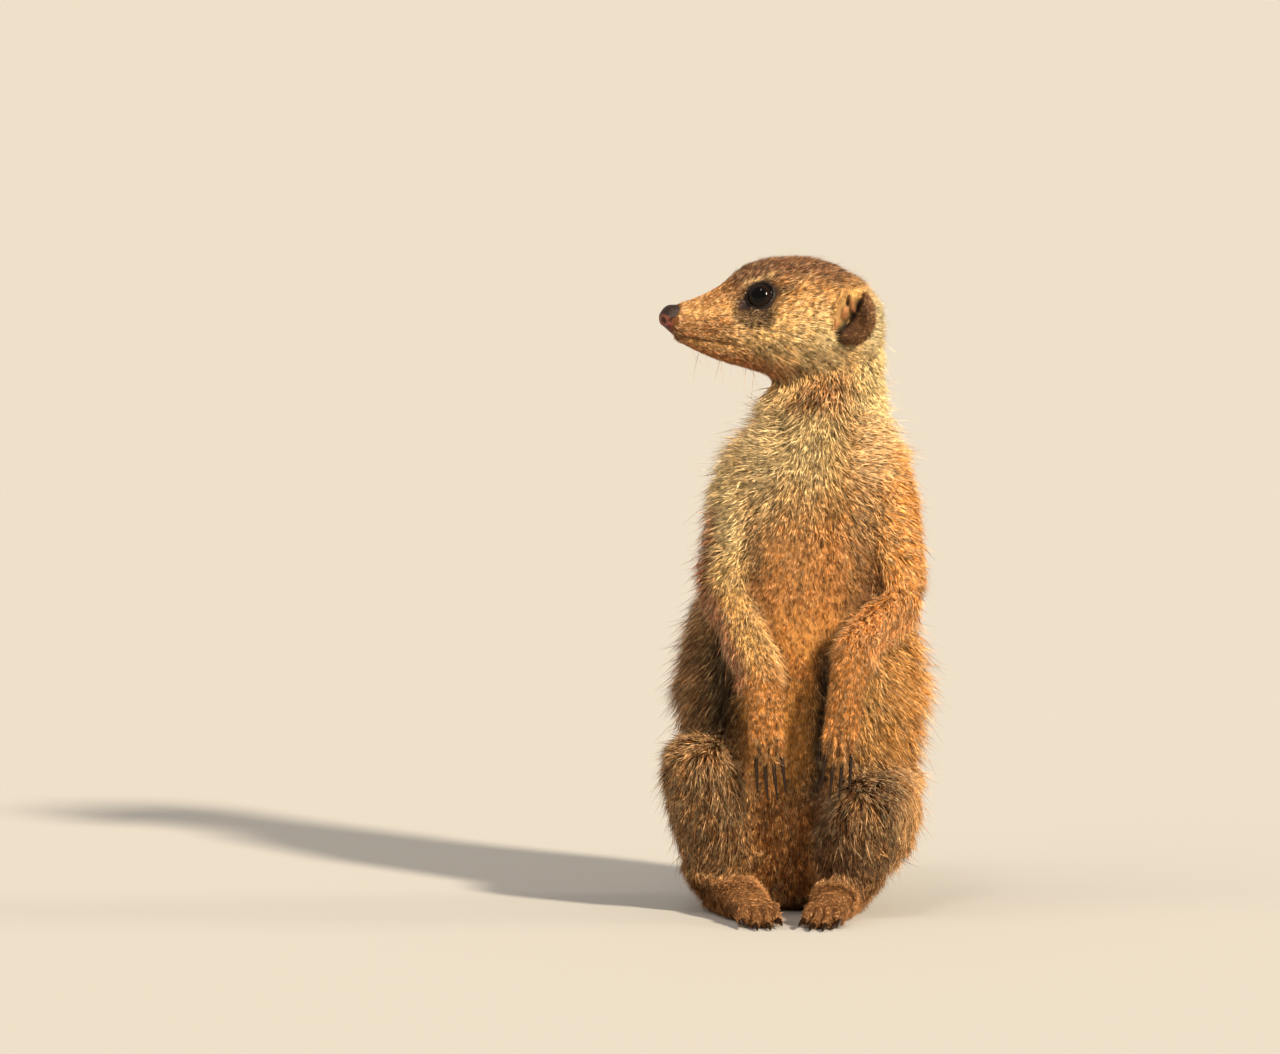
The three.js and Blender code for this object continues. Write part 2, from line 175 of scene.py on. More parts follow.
# Which solid each place on the skin belongs to.
corner_lists, face_lists, face_owner, start = [], [], [], 0
for label, node in enumerate(FLESH):
    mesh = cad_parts[node].data
    corner_lists.append(points_of(mesh))
    face_lists.append(triangles_of(mesh) + start)
    face_owner += [label] * len(face_lists[-1])
    start += len(corner_lists[-1])
solids = BVHTree.FromPolygons(
    np.concatenate(corner_lists).tolist(), np.concatenate(face_lists).tolist()
)


def owner_of(points):
    return np.array([face_owner[solids.find_nearest(Vector(p))[2]] for p in points])


def finder_of(points, chosen=None):
    """A tree that finds the nearest of the points, or of those chosen by number."""
    chosen = range(len(points)) if chosen is None else chosen
    tree = KDTree(len(chosen))
    for i in chosen:
        tree.insert(points[i], i)
    tree.balance()
    return tree


def labels_of(*parts):
    """The solids of these parts; a pair's name stands for both sides."""
    return [i for i, n in enumerate(FLESH) if any(n == p or n.startswith(p + "_") for p in parts)]


# The head's own frame: x towards the nose, y to its left, z to the crown, in millimetres.
HEAD_PIVOT = np.array([13, 2, 212.0])
HEAD_TURN = math.radians(-166)
HEAD_AXES = np.array(
    [[math.cos(HEAD_TURN), math.sin(HEAD_TURN), 0],
     [-math.sin(HEAD_TURN), math.cos(HEAD_TURN), 0], [0, 0, 1]]
)
EYE_AT, EYE_RADIUS = np.array([31.7, 10.9, 8.5]), 5.8
EAR_AT = np.array([1.2, 24.2, 0.9])
NOSE_AT = np.array([62.2, 0, 0.8])


def in_head(points):
    return (points / MM - HEAD_PIVOT) @ HEAD_AXES.T


def out_of_head(local):
    return (local @ HEAD_AXES + HEAD_PIVOT) * MM


def folded(local):
    """Places in the head brought to its left side, for what is alike on both sides."""
    return np.column_stack([local[:, 0], np.abs(local[:, 1]), local[:, 2]])


def near(local, spot, reach):
    return np.linalg.norm(folded(local) - spot, axis=1) < reach


def refine(chosen):
    """Finer faces where points pass a test of their places in the head and in the body."""
    work = bmesh.new()
    work.from_mesh(skin.data)
    points = points_of(skin.data)
    inside = chosen(in_head(points), points / MM)
    edges = [e for e in work.edges if inside[e.verts[0].index] and inside[e.verts[1].index]]
    bmesh.ops.subdivide_edges(work, edges=edges, cuts=1, use_grid_fill=True)
    bmesh.ops.triangulate(work, faces=[f for f in work.faces if len(f.verts) > 4])
    work.to_mesh(skin.data)
    work.free()


def on_digits(points, finger_top, toe_back):
    owner = owner_of(points * MM)
    hand = np.isin(owner, labels_of("hand")) & (points[:, 2] < finger_top)
    return hand | np.isin(owner, labels_of("foot")) & (points[:, 1] < toe_back)


refine(
    lambda head, body: (head[:, 0] > 25) & (abs(head[:, 2]) < 30)
    | near(head, EAR_AT, 12) | on_digits(body, 78, -44)
)
refine(
    lambda head, body: (head[:, 0] > 52) & (abs(head[:, 2]) < 30)
    | near(head, EYE_AT, 9.4) | near(head, EAR_AT, 9.4) | on_digits(body, 66, -55)
)
refine(lambda head, body: near(head, EYE_AT, 7.3))

P = points_of(skin.data)
T = triangles_of(skin.data)
E = edges_of(skin.data)
W = np.zeros((len(P), len(FLESH)))  # how far each point belongs to each solid
W[np.arange(len(P)), owner_of(P)] = 1
W = spread(W, E, 6)


def share_of(*parts):
    return W[:, labels_of(*parts)].sum(1)


trunk, neck, head, jaw = (share_of(part) for part in ("trunk", "neck", "head", "jaw"))
upper_arm, forearm, arms = share_of("upper_arm"), share_of("forearm"), share_of("upper_arm", "forearm")
legs, feet, hands, face = share_of("thigh", "shank"), share_of("foot"), share_of("hand"), head + jaw

# The joints are smoothed and small parts kept: a round that draws in is followed by one
# that lets out again, so that nothing shrinks.
SMOOTH_ROUNDS, DRAW_IN, LET_OUT = 40, 0.5, -0.47
keep = np.clip(1 - 0.75 * share_of("hand", "foot", "ear") - 0.5 * face, 0.2, 1)
for _ in range(SMOOTH_ROUNDS):
    P = spread(P, E, 1, DRAW_IN * keep)
    P = spread(P, E, 1, LET_OUT * keep)

# The coat's depth over the hide, in millimetres.
N = normals_of(P, T)
NX, NY, NZ = N.T
X, Y, Z = (P / MM).T
HX, _, HZ = in_head(P).T  # places in the head
front = ramp(0.1, 0.7, -NY)  # the chest and belly face forward
MIDDLE = [0, 60, 130, 166, 191], [-4, -4, 0, 3, 7.4]  # heights, and the trunk's middle there
middle = np.interp(Z, *MIDDLE)
aside = np.abs(X - middle)
patch_at = np.hypot((X - 1) / 22, (Z - 122) / 32)  # the thin-haired patch on the belly
patch_at += 0.09 * np.sin(X / 2.3 + np.sin(Z / 3.1)) * np.cos(Z / 2.7 + 0.4 * X)
bare = (1 - ramp(0.55, 1.3, patch_at)) * trunk * front
lower_belly = trunk * front * ramp(120, 96, Z) * ramp(30, 16, abs(X + 2))
ruff = (trunk + neck) * ramp(158, 170, Z) * ramp(198, 186, Z)
ruff *= ramp(4, 14, aside) * ramp(0.9, 0.4, NY)
muzzle = ramp(22, 52, HX) * face
DEPTHS = {
    "trunk": 5.0, "neck": 3.2, "head": 1.5, "jaw": 0.9, "ear": 0.35, "upper_arm": 2.8,
    "forearm": 1.7, "hand": 0.7, "thigh": 4.4, "shank": 3.4, "foot": 0.9, "tail_base": 2.8,
    "tail_middle": 2.8, "tail_tip": 2.2,
}
depth = sum(share_of(part) * mm for part, mm in DEPTHS.items())
depth += trunk * (-1.6 * front - 1.8 * bare - 1.0 * lower_belly) + 1.8 * ruff
depth += head * (0.9 * ramp(-4, -14, HZ) - 1.1 * muzzle) + jaw * (0.6 - 0.4 * muzzle)
collar = (trunk + neck) * bell(Z - 181, 9) * ramp(2, 14, middle - X)
elbow = arms * bell(Z - 106, 12) * ramp(0.2, 0.8, abs(NX))
depth += 4.2 * collar + 2.6 * elbow * ramp(20, 30, aside)
depth = spread(depth, E, 4) * ramp(-1, 7, Z)  # it sits flat on the floor
P = P - N * (depth * MM)[:, None]
P = spread(P, E, 2, 0.4 * keep)

# Fingers and toes: the hide is pressed in between each two, and parts at their ends.
DIGITS = {"hand": (2, 2.85, 11, 1.0), "foot": (1, 3.5, 11, 1.1)}  # root axis, pitch, length, cleft
cleft = np.zeros(len(P))
for limb, (axis, pitch, long, press) in DIGITS.items():
    for way in ("left", "right"):
        claws = [points_of(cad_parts[f"{limb}_claw_{way}_{i}"].data) / MM for i in (1, 2, 3, 4)]
        roots = np.array([claw[np.argmax(claw[:, axis])] for claw in claws])
        tips = np.array([claw[np.argmin(claw[:, axis])] for claw in claws])
        along = unit((tips - roots).mean(0))
        across = unit(roots[3] - roots[0])
        gaps, shares = [], []
        for i, root in enumerate(roots):
            knuckle = roots.mean(0) - along * long + across * pitch * (i - 1.5)
            line = root - knuckle
            share = np.clip((P / MM - knuckle) @ line / (line @ line), -0.3, 1.3)
            gaps.append(np.linalg.norm(P / MM - knuckle - share[:, None] * line, axis=1))
            shares.append(share)
        order = np.argsort(gaps, 0)
        gaps, shares = np.array(gaps), np.array(shares)
        nearest = np.take_along_axis(gaps, order[:2], 0)
        share = np.take_along_axis(shares, order[:1], 0)[0]
        between = bell(nearest[1] - nearest[0], 0.9) * ramp(0.05, 0.5, share)
        between *= share_of(f"{limb}_{way}") * (nearest[0] < 6)
        parting = 2.6 * between * ramp(0.72, 1.1, share)
        P = P - (N * (press * between)[:, None] + along * parting[:, None]) * MM
        cleft = np.maximum(cleft, between)
P = spread(P, E, 1, 0.3 * cleft)
P[:, 2] = np.maximum(P[:, 2], 0)

# The lids: the hide opens over each eye in a long oval and stands just proud of the eyeball
# round it, running forward to the tear duct.
EYE_AXIS = unit(np.array([0.42, 0.88, 0.22]))
EYE_LONG = unit(np.cross(EYE_AXIS, [0, 0, 1]) + np.array([0, 0, -0.42]))
EYE_LONG = unit(EYE_LONG - EYE_AXIS * (EYE_LONG @ EYE_AXIS))  # towards the nose
EYE_UP = np.cross(EYE_LONG, EYE_AXIS)
EYE_UP *= np.sign(EYE_UP[2])
LID = {"long": 4.6, "high": 4.0, "duct": 2.0, "crest": 0.5, "sink": 1.5}


def eye_plane(local):
    """Place on the plane of the lids: forward, up, and the oval's measure (1 on its edge)."""
    offset = local - EYE_AT
    forward, up = offset @ EYE_LONG, offset @ EYE_UP
    stretch = LID["long"] + LID["duct"] * ramp(2.5, 6, forward)
    narrow = LID["high"] * (1 - 0.35 * ramp(2.0, 6.5, forward))
    return forward, up, np.hypot(forward / stretch, up / narrow)


L = in_head(P)
side = np.where(L[:, 1] >= 0, 1.0, -1.0)
L = folded(L)
offset = L - EYE_AT
reach = np.linalg.norm(offset, axis=1)
forward, up, oval = eye_plane(L)
at_eye = (offset @ EYE_AXIS > 0) & (reach < 13) & (face > 0.3)
crest = EYE_RADIUS + LID["crest"] * (1 - 0.5 * ramp(1.25, 1.9, oval))
hollow = EYE_RADIUS - LID["sink"]
lid_skin = hollow + (crest - hollow) * ramp(0.94, 1.06, oval)
blend = ramp(2.1, 1.35, oval)
shaped = np.where(oval < 1.35, lid_skin, np.maximum(reach + (lid_skin - reach) * blend, crest))
shaped = np.where(oval < 2.1, shaped, np.maximum(reach, EYE_RADIUS + 0.2))
L = EYE_AT + unit(offset) * np.where(at_eye, shaped, reach)[:, None]
L = L + EYE_AXIS * (0.5 * bell(oval - 1.65, 0.3) * at_eye)[:, None]  # the brow and lower rim

# The ears: bare tan lobes at the front edge, a deep dark opening behind them, and a wide
# crescent at the back.
EAR_FORWARD = np.array([0.930, -0.302, 0.208])
EAR_UP = np.array([-0.198, 0.064, 0.978])
EAR_OUT = np.array([0.309, 0.951, 0.0])
LOBES = [  # forward, up, half-width, half-height, lean, height
    (1.4, 5.0, 1.0, 2.5, 0.30, 1.3), (3.3, 1.6, 1.1, 2.4, -0.10, 1.6), (5.9, -4.0, 0.9, 3.0, -0.35, 0.9),
]
OPENING = np.array([(-1.0, 7.2), (0.2, 3.2), (1.2, 0.4), (2.5, -2.2), (3.9, -4.8), (4.6, -6.4)])


def ear_plane(local):
    offset = local - EAR_AT
    return offset @ EAR_FORWARD, offset @ EAR_UP, offset @ EAR_OUT


def ear_shapes(local):
    """How far each place is on the whole ear, on its lobes and in its opening."""
    forward, up, out = ear_plane(local)
    on_ear = (np.hypot(forward / 9.5, up / 10.2) < 1) * (out > -3.5) * (local[:, 0] < 20) * 1.0
    lobe, swell = np.zeros(len(local)), np.zeros(len(local))
    for x, z, wide, high, lean, height in LOBES:
        ahead = forward - x - lean * (up - z)
        one = np.exp(-((ahead / wide) ** 4) - ((up - z) / high) ** 4)
        lobe, swell = np.maximum(lobe, one), np.maximum(swell, one * height)
    line = np.interp(up, OPENING[::-1, 1], OPENING[::-1, 0])
    opening = np.exp(-(((forward - line) / 1.5) ** 2)) * ramp(-7.8, -5.8, up)
    opening *= ramp(8.6, 7.0, up) * (1 - lobe)
    pocket = np.exp(-(np.hypot((forward - 3.0) / 0.8, (up - 5.2) / 1.2) ** 2)) * (1 - lobe)
    return on_ear, lobe * on_ear, swell * on_ear, np.maximum(opening, pocket) * on_ear


on_ear, lobe, swell, opening = ear_shapes(L)
L = L + EAR_OUT * (swell - 1.9 * opening)[:, None]
L = L + EAR_UP * (1.9 * on_ear * ramp(2, 8, ear_plane(L)[1]))[:, None]

# The mouth line, a shallow fold from under the nose to its corner below the eye.
MOUTH_FRONT, MOUTH_CORNER = np.array([65, -4.6]), np.array([38, -9.2])
run = MOUTH_FRONT - MOUTH_CORNER
share = np.clip(((L[:, [0, 2]] - MOUTH_CORNER) @ run) / (run @ run), 0, 1)
lip_gap = np.linalg.norm(L[:, [0, 2]] - (MOUTH_CORNER + share[:, None] * run), axis=1)
mouth = bell(lip_gap, 0.6) * (face > 0.4) * (L[:, 0] > 34)
L[:, 1] *= side
P = out_of_head(L)
P = P - normals_of(P, T) * (mouth * 0.45 * MM)[:, None]
N = normals_of(P, T)

# ---- markings
# The same markings are in the hide and in the hairs that grow on it: cream cheeks, throat
# and shoulders, golden arms and flanks, a tan thin-haired belly, grizzled brown legs, dark
# eye patches and ears, dark bars over the back, and a dark end to the tail. Light and shade
# are painted in with them: the sides towards the key light lighter, those away from it darker,
# and shadows in the folds and hollows, beside the forearms and under the jaw.


def linear(hex_colour):
    value = np.array([int(hex_colour[i : i + 2], 16) / 255 for i in (0, 2, 4)])
    return np.where(value <= 0.04045, value / 12.92, ((value + 0.055) / 1.055) ** 2.4)


L = folded(in_head(P))
HX, _, HZ = L.T
X, Y, Z = (P / MM).T
NX, NY, NZ = N.T
middle = np.interp(Z, *MIDDLE)
aside = np.abs(X - middle)
left_side, right_side = ramp(-2, -14, X - middle), ramp(2, 14, X - middle)
front = ramp(-0.1, 0.6, -NY)

# Folds such as those between the arms and the belly, where the coat parts; the coat there is painted
# darker, as shade.
hollow_way = ((spread(P, E, 25) - P) * N).sum(1) / MM
crease = ramp(0.35, 1.3, spread(hollow_way, E, 2)) * ramp(20, 40, Z) * (Z < 178)


def painted(over, rows):
    """Colours laid one on another over a piece; a row says where, which and how thickly."""
    for place, colour, amount in rows:
        over = over + (linear(colour) - over) * np.clip(place * amount, 0, 1)[:, None]
    return over


# On the trunk: bars over the back, the rim of the bare patch and the flanks.
BAR_PITCH = 13.5
bars = 0.5 + 0.5 * np.sin((Z - 30) / BAR_PITCH * 2 * math.pi + 0.6 * np.sin(X / 9))
bars = ramp(0.45, 0.8, bars) * ramp(0.15, 0.7, NY) * ramp(20, 45, Z) * ramp(178, 150, Z)
high_chest = ramp(112, 140, Z)
rim = bell(patch_at - 1.05, 0.13) * ramp(142, 122, Z)
flank = ramp(22, 34, aside) * ramp(140, 112, Z)
throat = (neck + trunk) * front
tail = share_of("tail_base", "tail_middle")

# Painted shade in the hollows beside the forearms and hands, at the side of the belly, along the edge of
# the chest, and between the thigh and the belly, and the shadow that a forearm casts on the belly.
arm_finder = finder_of(P, np.flatnonzero(share_of("forearm", "hand") > 0.6))
shadow_beside_arm = np.zeros(len(P))
for i in np.flatnonzero((trunk > 0.5) & (front > 0.05) & (Z < 122) & (Z > 52)):
    shadow_beside_arm[i] = ramp(6.5, 2.5, arm_finder.find(P[i])[2] / MM)
shadow_beside_arm *= np.maximum(ramp(-9, -14, X), ramp(6, 12, X))
side_shadow = bell(X + 27, 8) * ramp(58, 70, Z) * ramp(114, 98, Z) * ramp(-0.1, 0.3, -NY)
fold = bell(X + 17.2, 2.0) * ramp(106, 118, Z) * ramp(158, 144, Z) * ramp(0.1, 0.5, -NY)
forearm_shadow = bell(X - np.interp(Z, [36, 52, 70, 100], [2.4, 6.2, 7.2, 9]), 4.0)

# On the head: the sides of the muzzle and nape, the eye patch and the ear.
muzzle_side = ramp(34, 48, HX) * ramp(4, 0, HZ) * ramp(-9, -4, HZ)
nape_side = ramp(3, -7, HX) * ramp(18, 2, HZ) * ramp(0.7, 0.1, NY)
forward, up, oval = eye_plane(L)
before_eye = face * ((L - EYE_AT) @ EYE_AXIS > -3.0)
under = ramp(1.1, 0.7, np.hypot((forward - 4.0) / 8.6, (up + 4.0) / 7.8))
behind = ramp(1.1, 0.5, np.hypot((forward + 8.2) / 3.4, (up + 1.0) / 2.8))
duct = bell(up, 1.1) * ramp(3, 5, forward) * ramp(11, 8, forward)
on_ear, lobe, _, opening = ear_shapes(L)
ear_x, ear_z, ear_out = ear_plane(L)
ear = np.maximum(share_of("ear"), on_ear * (ear_out > -2.5))
behind_opening = ramp(0.8, -0.6, ear_x - np.interp(ear_z, OPENING[::-1, 1], OPENING[::-1, 0]))

coat = painted(np.tile(linear("d8b072"), (len(P), 1)), [
    (trunk, "cb9a5c", 1 - front),
    (trunk, "6f4a2e", bars * 0.75),
    (trunk, "ffe2a6", high_chest * front),
    (trunk, "ffe2ac", high_chest * ramp(6, 17, aside) * ramp(0.6, -0.2, NY) * 0.6),
    (trunk, "a06a2a", high_chest * front * right_side * 0.85),
    (bare, "b47a3e", 0.9),
    (bare, "d6a662", ramp(128, 156, Z) * 0.8),
    (bare, "925a26", ramp(122, 100, Z)),
    (lower_belly, "f6b45c", 0.9),
    (trunk, "c67a34", front * rim * 0.45),
    # the flanks: painted lighter and golden on the side towards the key light, darker brown on the side
    # away from it, as light and shade
    (trunk, "eeac54", flank * right_side * 0.85),
    (trunk, "7a4e26", flank * left_side * 0.85),
    (trunk, "9a7040", ramp(95, 45, Z) * (1 - front) * 0.6),
    (trunk, "7c481e", front * ramp(62, 40, Z) * 0.75),
    (neck, "ecd098", 0.85),
    # the neck's side towards the key light painted paler, as light
    (neck, "ffe8ac", ramp(0, 0.6, NX) * 0.95),
    (neck, "b88a54", ramp(0.35, 0.85, NY) * 0.8),
    # the throat: its own orange, darkened as the jaw's painted shade, and a dark band under the jaw
    # painted as its shadow
    (throat, "b87838", ramp(176, 190, Z) * ramp(14, 2, aside) * 0.65),
    (throat, "7c4a22", ramp(179, 187, Z) * ramp(12, 4, aside) * 0.6),
    (arms, "e6a452", 0.9),
    # the arms' sides towards the key light painted brighter golden, as light
    (arms, "f0a444", ramp(0.2, 0.8, NX) * right_side * 0.6),
    (upper_arm, "ffe8b0", left_side * ramp(88, 140, Z) * 0.95),
    (share_of("forearm", "hand"), "dc9040", 0.55),
    (arms, "f8d088", left_side * ramp(72, 104, Z) * ramp(140, 124, Z) * 0.75),
    # reddish hair on the outer edge of the arm away from the light, painted darker there as shade
    (arms, "883208", ramp(-0.25, -0.7, NX) * left_side * ramp(158, 138, Z) * 0.9),
    (hands, "e8a04c", 0.75),
    # painted shade in the clefts between the fingers and toes
    (cleft, "2a1408", 0.95),
    (legs, "845c32", 0.95),
    # the legs' outward side towards the key light painted golden-brown, as light
    (legs, "b88446", ramp(0.1, 0.8, NX) * right_side * ramp(-30, 0, Y) * 0.8),
    (legs, "4e2a12", right_side * ramp(28, 12, X) * ramp(54, 40, Z) * 0.85),
    (legs, "5c3a1c", ramp(0.0, 0.7, NZ) * right_side * ramp(-14, -30, Y) * 0.7),
    (legs, "7e5430", ramp(30, 10, Z) * 0.7),
    (feet, "7e5430", 0.9),
    (feet, "5f3c22", ramp(3, 0.5, Z) * 0.7),
    (tail, "c8964f", 1),
    (tail, "ba7434", ramp(0.2, 0.9, -NZ) * 0.3),
    (share_of("tail_middle", "tail_tip"), "241812", ramp(165, 200, Y) * 0.95),
    # painted shade in the folds
    (trunk + arms, "4e2812", crease * 0.75),
    # painted shadow beside the forearms and hands, at the side of the belly and along the chest, and the
    # forearm's shadow on the belly
    (shadow_beside_arm, "2a140a", ramp(124, 108, Z) * ramp(52, 60, Z) * 0.9),
    (trunk, "160b05", side_shadow * 0.95),
    (trunk + arms, "5c2a0e", fold * 0.8),
    (trunk, "120904", front * forearm_shadow * ramp(34, 46, Z) * ramp(108, 94, Z)),
    (face, "c4a874", ramp(6, -6, HZ) * 0.85),
    (face, "ac7c40", ramp(-2, 10, HZ) * 0.8),
    (face, "5c2c0c", ramp(10, 18, HZ) * ramp(-26, 4, HX) * 0.9),
    (face, "4e280c", ramp(24, 34, HX) * ramp(5, 12, HZ) * 0.85),
    (face, "9c6a30", ramp(40, 50, HX) * ramp(2, 8, HZ) * 0.85),
    (face, "94602c", muzzle_side * 0.85),
    (face, "e0cc9c", bell(np.hypot(HX - 13, HZ + 5), 9) * 0.8),  # before the ear
    (face, "c89c62", ramp(0, -12, HX) * ramp(24, 10, HZ) * 0.7),
    # behind the ear: pale cream, painted brighter as the lit nape
    (face, "ffeebc", nape_side * 0.9),  # behind it
    (face, "b86a30", ramp(-9, -15, HZ) * ramp(18, 30, HX) * 0.6),
    (jaw, "c08c52", 0.7),
    (face, "c87030", ramp(-0.6, -0.9, NZ) * ramp(24, 34, HX) * 0.7),
    (before_eye, "3c2514", under * 0.92),
    (before_eye, "4a3018", behind * 0.8),
    (before_eye, "352014", np.maximum(ramp(1.8, 1.2, oval), duct) * 0.9),
    (before_eye, "efd29a", bell(up - 6.4, 1.0) * (abs(forward) < 6) * 0.35),
    (ear, "5c3c24", behind_opening * 0.95),
    (face, "6e4228", ramp(58, 61.5, HX) * 0.5),
])
# A warm tint all through the coat, least in its palest places: partly fine red dust from the ground,
# partly painted warm light. The palest places are also made brighter.
DUST_AND_WARM_LIGHT = np.array([0.03, -0.1, -0.24])
coat = spread(coat, E, 1)
palest = ramp(0.38, 0.62, coat.mean(1))[:, None]
coat = coat * (1 + 0.3 * palest) * (1 + DUST_AND_WARM_LIGHT * (1 - 0.45 * palest))

HIDE_SHADE = 0.42  # how bright the hide is beside the hairs over it
hide = painted(coat * HIDE_SHADE, [
    (bare, "a8743e", 0.6),
    (before_eye, "150d0a", ramp(1.45, 1.2, oval) * 0.95),
    (before_eye, "2a1a12", duct * 0.9),
    (mouth, "241812", 0.4),
    (ear, "98643f", lobe * 0.95),
    # the ear's opening painted near-black, as shade in its hollow
    (ear, "140b07", opening * 0.95),
])
wet = np.maximum(ramp(1.25, 1.1, oval), duct) * before_eye


def attribute(mesh, name, values):
    """A colour or a number at each point of a piece."""
    if values.ndim == 2:
        layer = mesh.color_attributes.new(name, "FLOAT_COLOR", "POINT")
        rgba = np.ones((len(values), 4), np.float32)
        rgba[:, :3] = values
        layer.data.foreach_set("color", rgba.ravel())
    else:
        layer = mesh.attributes.new(name, "FLOAT", "POINT")
        layer.data.foreach_set("value", values.astype(np.float32))


def add_node(tree, kind, settings=(), links=()):
    """Adds a node with its settings; a link is (socket to feed, node, its output)."""
    node = tree.nodes.new("ShaderNode" + kind)
    for key, value in dict(settings).items():
        if hasattr(node, key):
            setattr(node, key, value)
        else:
            node.inputs[key].default_value = value
    for socket, source, output in links:
        tree.links.new(source.outputs[output], node.inputs[socket])
    return node


def material(name, settings=()):
    """A material with one shader; its constants are set on the shader's own sockets."""
    made = bpy.data.materials.new(name)
    made.use_nodes = True
    tree = made.node_tree
    tree.nodes.clear()
    shader = add_node(tree, "BsdfPrincipled", settings)
    add_node(tree, "OutputMaterial", (), [("Surface", shader, "BSDF")])
    return made, tree, shader


def feed(tree, shader, socket, node, output):
    tree.links.new(node.outputs[output], shader.inputs[socket])


def feed_markings(tree, shader, shade, output):
    """The piece's own markings, lighter and darker by a shade, as the shader's colour."""
    marks = add_node(tree, "Attribute", {"attribute_name": "Markings"})
    tinted = add_node(
        tree, "VectorMath", {"operation": "SCALE"},
        [("Vector", marks, "Color"), ("Scale", shade, output)],
    )
    feed(tree, shader, "Base Color", tinted, "Vector")


def cover(obj, points, finish):
    """Puts the mesh's points in their places and gives it its material, smooth all over."""
    if points is not None:
        obj.data.vertices.foreach_set("co", points.astype(np.float32).ravel())
        obj.data.update()
    obj.data.materials.append(finish)
    obj.data.polygons.foreach_set("use_smooth", [True] * len(obj.data.polygons))


# Hide under very fine short hairs 0.5 mm apart: it scatters light, with no shine but on the
# wet lids and tear ducts.
hide_finish, tree, shader = material("short haired hide", {"Specular IOR Level": 0.25})
wetness = add_node(tree, "Attribute", {"attribute_name": "Wet"})
place = add_node(tree, "TexCoord")
hairs = add_node(tree, "Mapping", {"Scale": (1, 1, 0.3)}, [("Vector", place, "Object")])
grain = add_node(
    tree, "TexNoise", {"Scale": 1800, "Detail": 3, "Roughness": 0.6},
    [("Vector", hairs, "Vector")],
)
shade = add_node(tree, "MapRange", {"To Min": 0.65, "To Max": 1.3}, [("Value", grain, "Fac")])
bump = add_node(
    tree, "Bump", {"Strength": 0.5, "Distance": 0.0004}, [("Height", grain, "Fac")]
)
gloss = add_node(tree, "MapRange", {"To Min": 0.75, "To Max": 0.2}, [("Value", wetness, "Fac")])
feed_markings(tree, shader, shade, "Result")
feed(tree, shader, "Normal", bump, "Normal")
feed(tree, shader, "Roughness", gloss, "Result")

cover(skin, P, hide_finish)
attribute(skin.data, "Markings", hide)
attribute(skin.data, "Wet", wet)
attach(skin, "root")
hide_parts(*FLESH)

# ---------------------------------------------------------------- eyes
# Large dark eyes: a glossy clear front over a brown iris so deep that it almost meets the
# wide black pupil. Each is a ball with a slight bulge at the front, set in its lids.

IRIS = {"reach": 47, "bulge": 0.35}  # degrees from the axis, and millimetres

eye_finish, tree, shader = material("wet eye", {
    "Roughness": 0.08, "Specular IOR Level": 0.12, "Coat Weight": 0.12, "Coat Roughness": 0.02,
})
away = add_node(tree, "Attribute", {"attribute_name": "FromAxis"})
fibre = add_node(tree, "Attribute", {"attribute_name": "Fibre"})
streaks = add_node(
    tree, "TexNoise", {"Scale": 26, "Detail": 2}, [("Vector", fibre, "Color")]
)
iris = add_node(tree, "ValToRGB", (), [("Fac", away, "Fac")])
stops = iris.color_ramp.elements
stops.remove(stops[-1])
stops[0].color = (*linear("020101"), 1)
for at_share, colour in ((0.56, "020101"), (0.64, "0e0603"), (0.84, "160a05"), (0.96, "040201")):
    stops.new(at_share).color = (*linear(colour), 1)
lit = add_node(tree, "MapRange", {"To Min": 0.6, "To Max": 1.5}, [("Value", streaks, "Fac")])
iris_colour = add_node(
    tree, "VectorMath", {"operation": "SCALE"},
    [("Vector", iris, "Color"), ("Scale", lit, "Result")],
)
feed(tree, shader, "Base Color", iris_colour, "Vector")

for name, way in (("left", 1), ("right", -1)):
    deselect()
    bpy.ops.mesh.primitive_uv_sphere_add(segments=48, ring_count=32, radius=1, location=(0, 0, 0))
    eye = bpy.context.active_object
    eye.name = eye.data.name = f"eyeball_{name}"
    ball = points_of(eye.data)
    axis = EYE_AXIS * [1, way, 1]
    angle = np.degrees(np.arccos(np.clip(ball @ axis, -1, 1)))
    radius = EYE_RADIUS - 0.15 + IRIS["bulge"] * ramp(60, 20, angle)
    cover(eye, out_of_head(EYE_AT * [1, way, 1] + ball * radius[:, None]), eye_finish)
    across = unit(np.cross(axis, [0, 0, 1]))
    turn = np.arctan2(ball @ np.cross(across, axis), ball @ across)
    attribute(eye.data, "FromAxis", np.clip(angle / IRIS["reach"], 0, 1))
    attribute(eye.data, "Fibre", np.stack([np.cos(turn) * 3, np.sin(turn) * 3, angle / 90], 1))
    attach(eye, "root")
    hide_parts(f"eye_{name}")

# ---------------------------------------------------------------- nose
# A small bare pad of dark pebbled skin, blunt in front, with comma-shaped nostrils that open
# to the sides and a groove down its middle. Red earth sticks to its damp front.

nose = copies_of(["nose"], "nose_pad")
NOSE_VOXEL = 0.3 * MM
apply_modifier(nose, "REMESH", mode="VOXEL", voxel_size=NOSE_VOXEL, adaptivity=0)
Q, QE, QT = points_of(nose.data), edges_of(nose.data), triangles_of(nose.data)
r = (in_head(Q) - NOSE_AT) / [4.8, 5.4, 4.8]
blunt = np.linalg.norm(r, axis=1) / (np.abs(r) ** 2.7).sum(1) ** (1 / 2.7)  # squarer than an egg
r = unit(r) * blunt[:, None] * [4.9, 5.5, 4.9]
r[:, 1] *= 1 - 0.14 * ramp(0, -4, r[:, 2])  # narrower below
r[:, 2] *= 1 - 0.16 * ramp(1.5, 4.8, r[:, 0])  # and rounded in front
r[:, 0] -= 0.9 * ramp(-0.5, -4.5, r[:, 2]) * ramp(0, 4, r[:, 0])  # the top overhangs
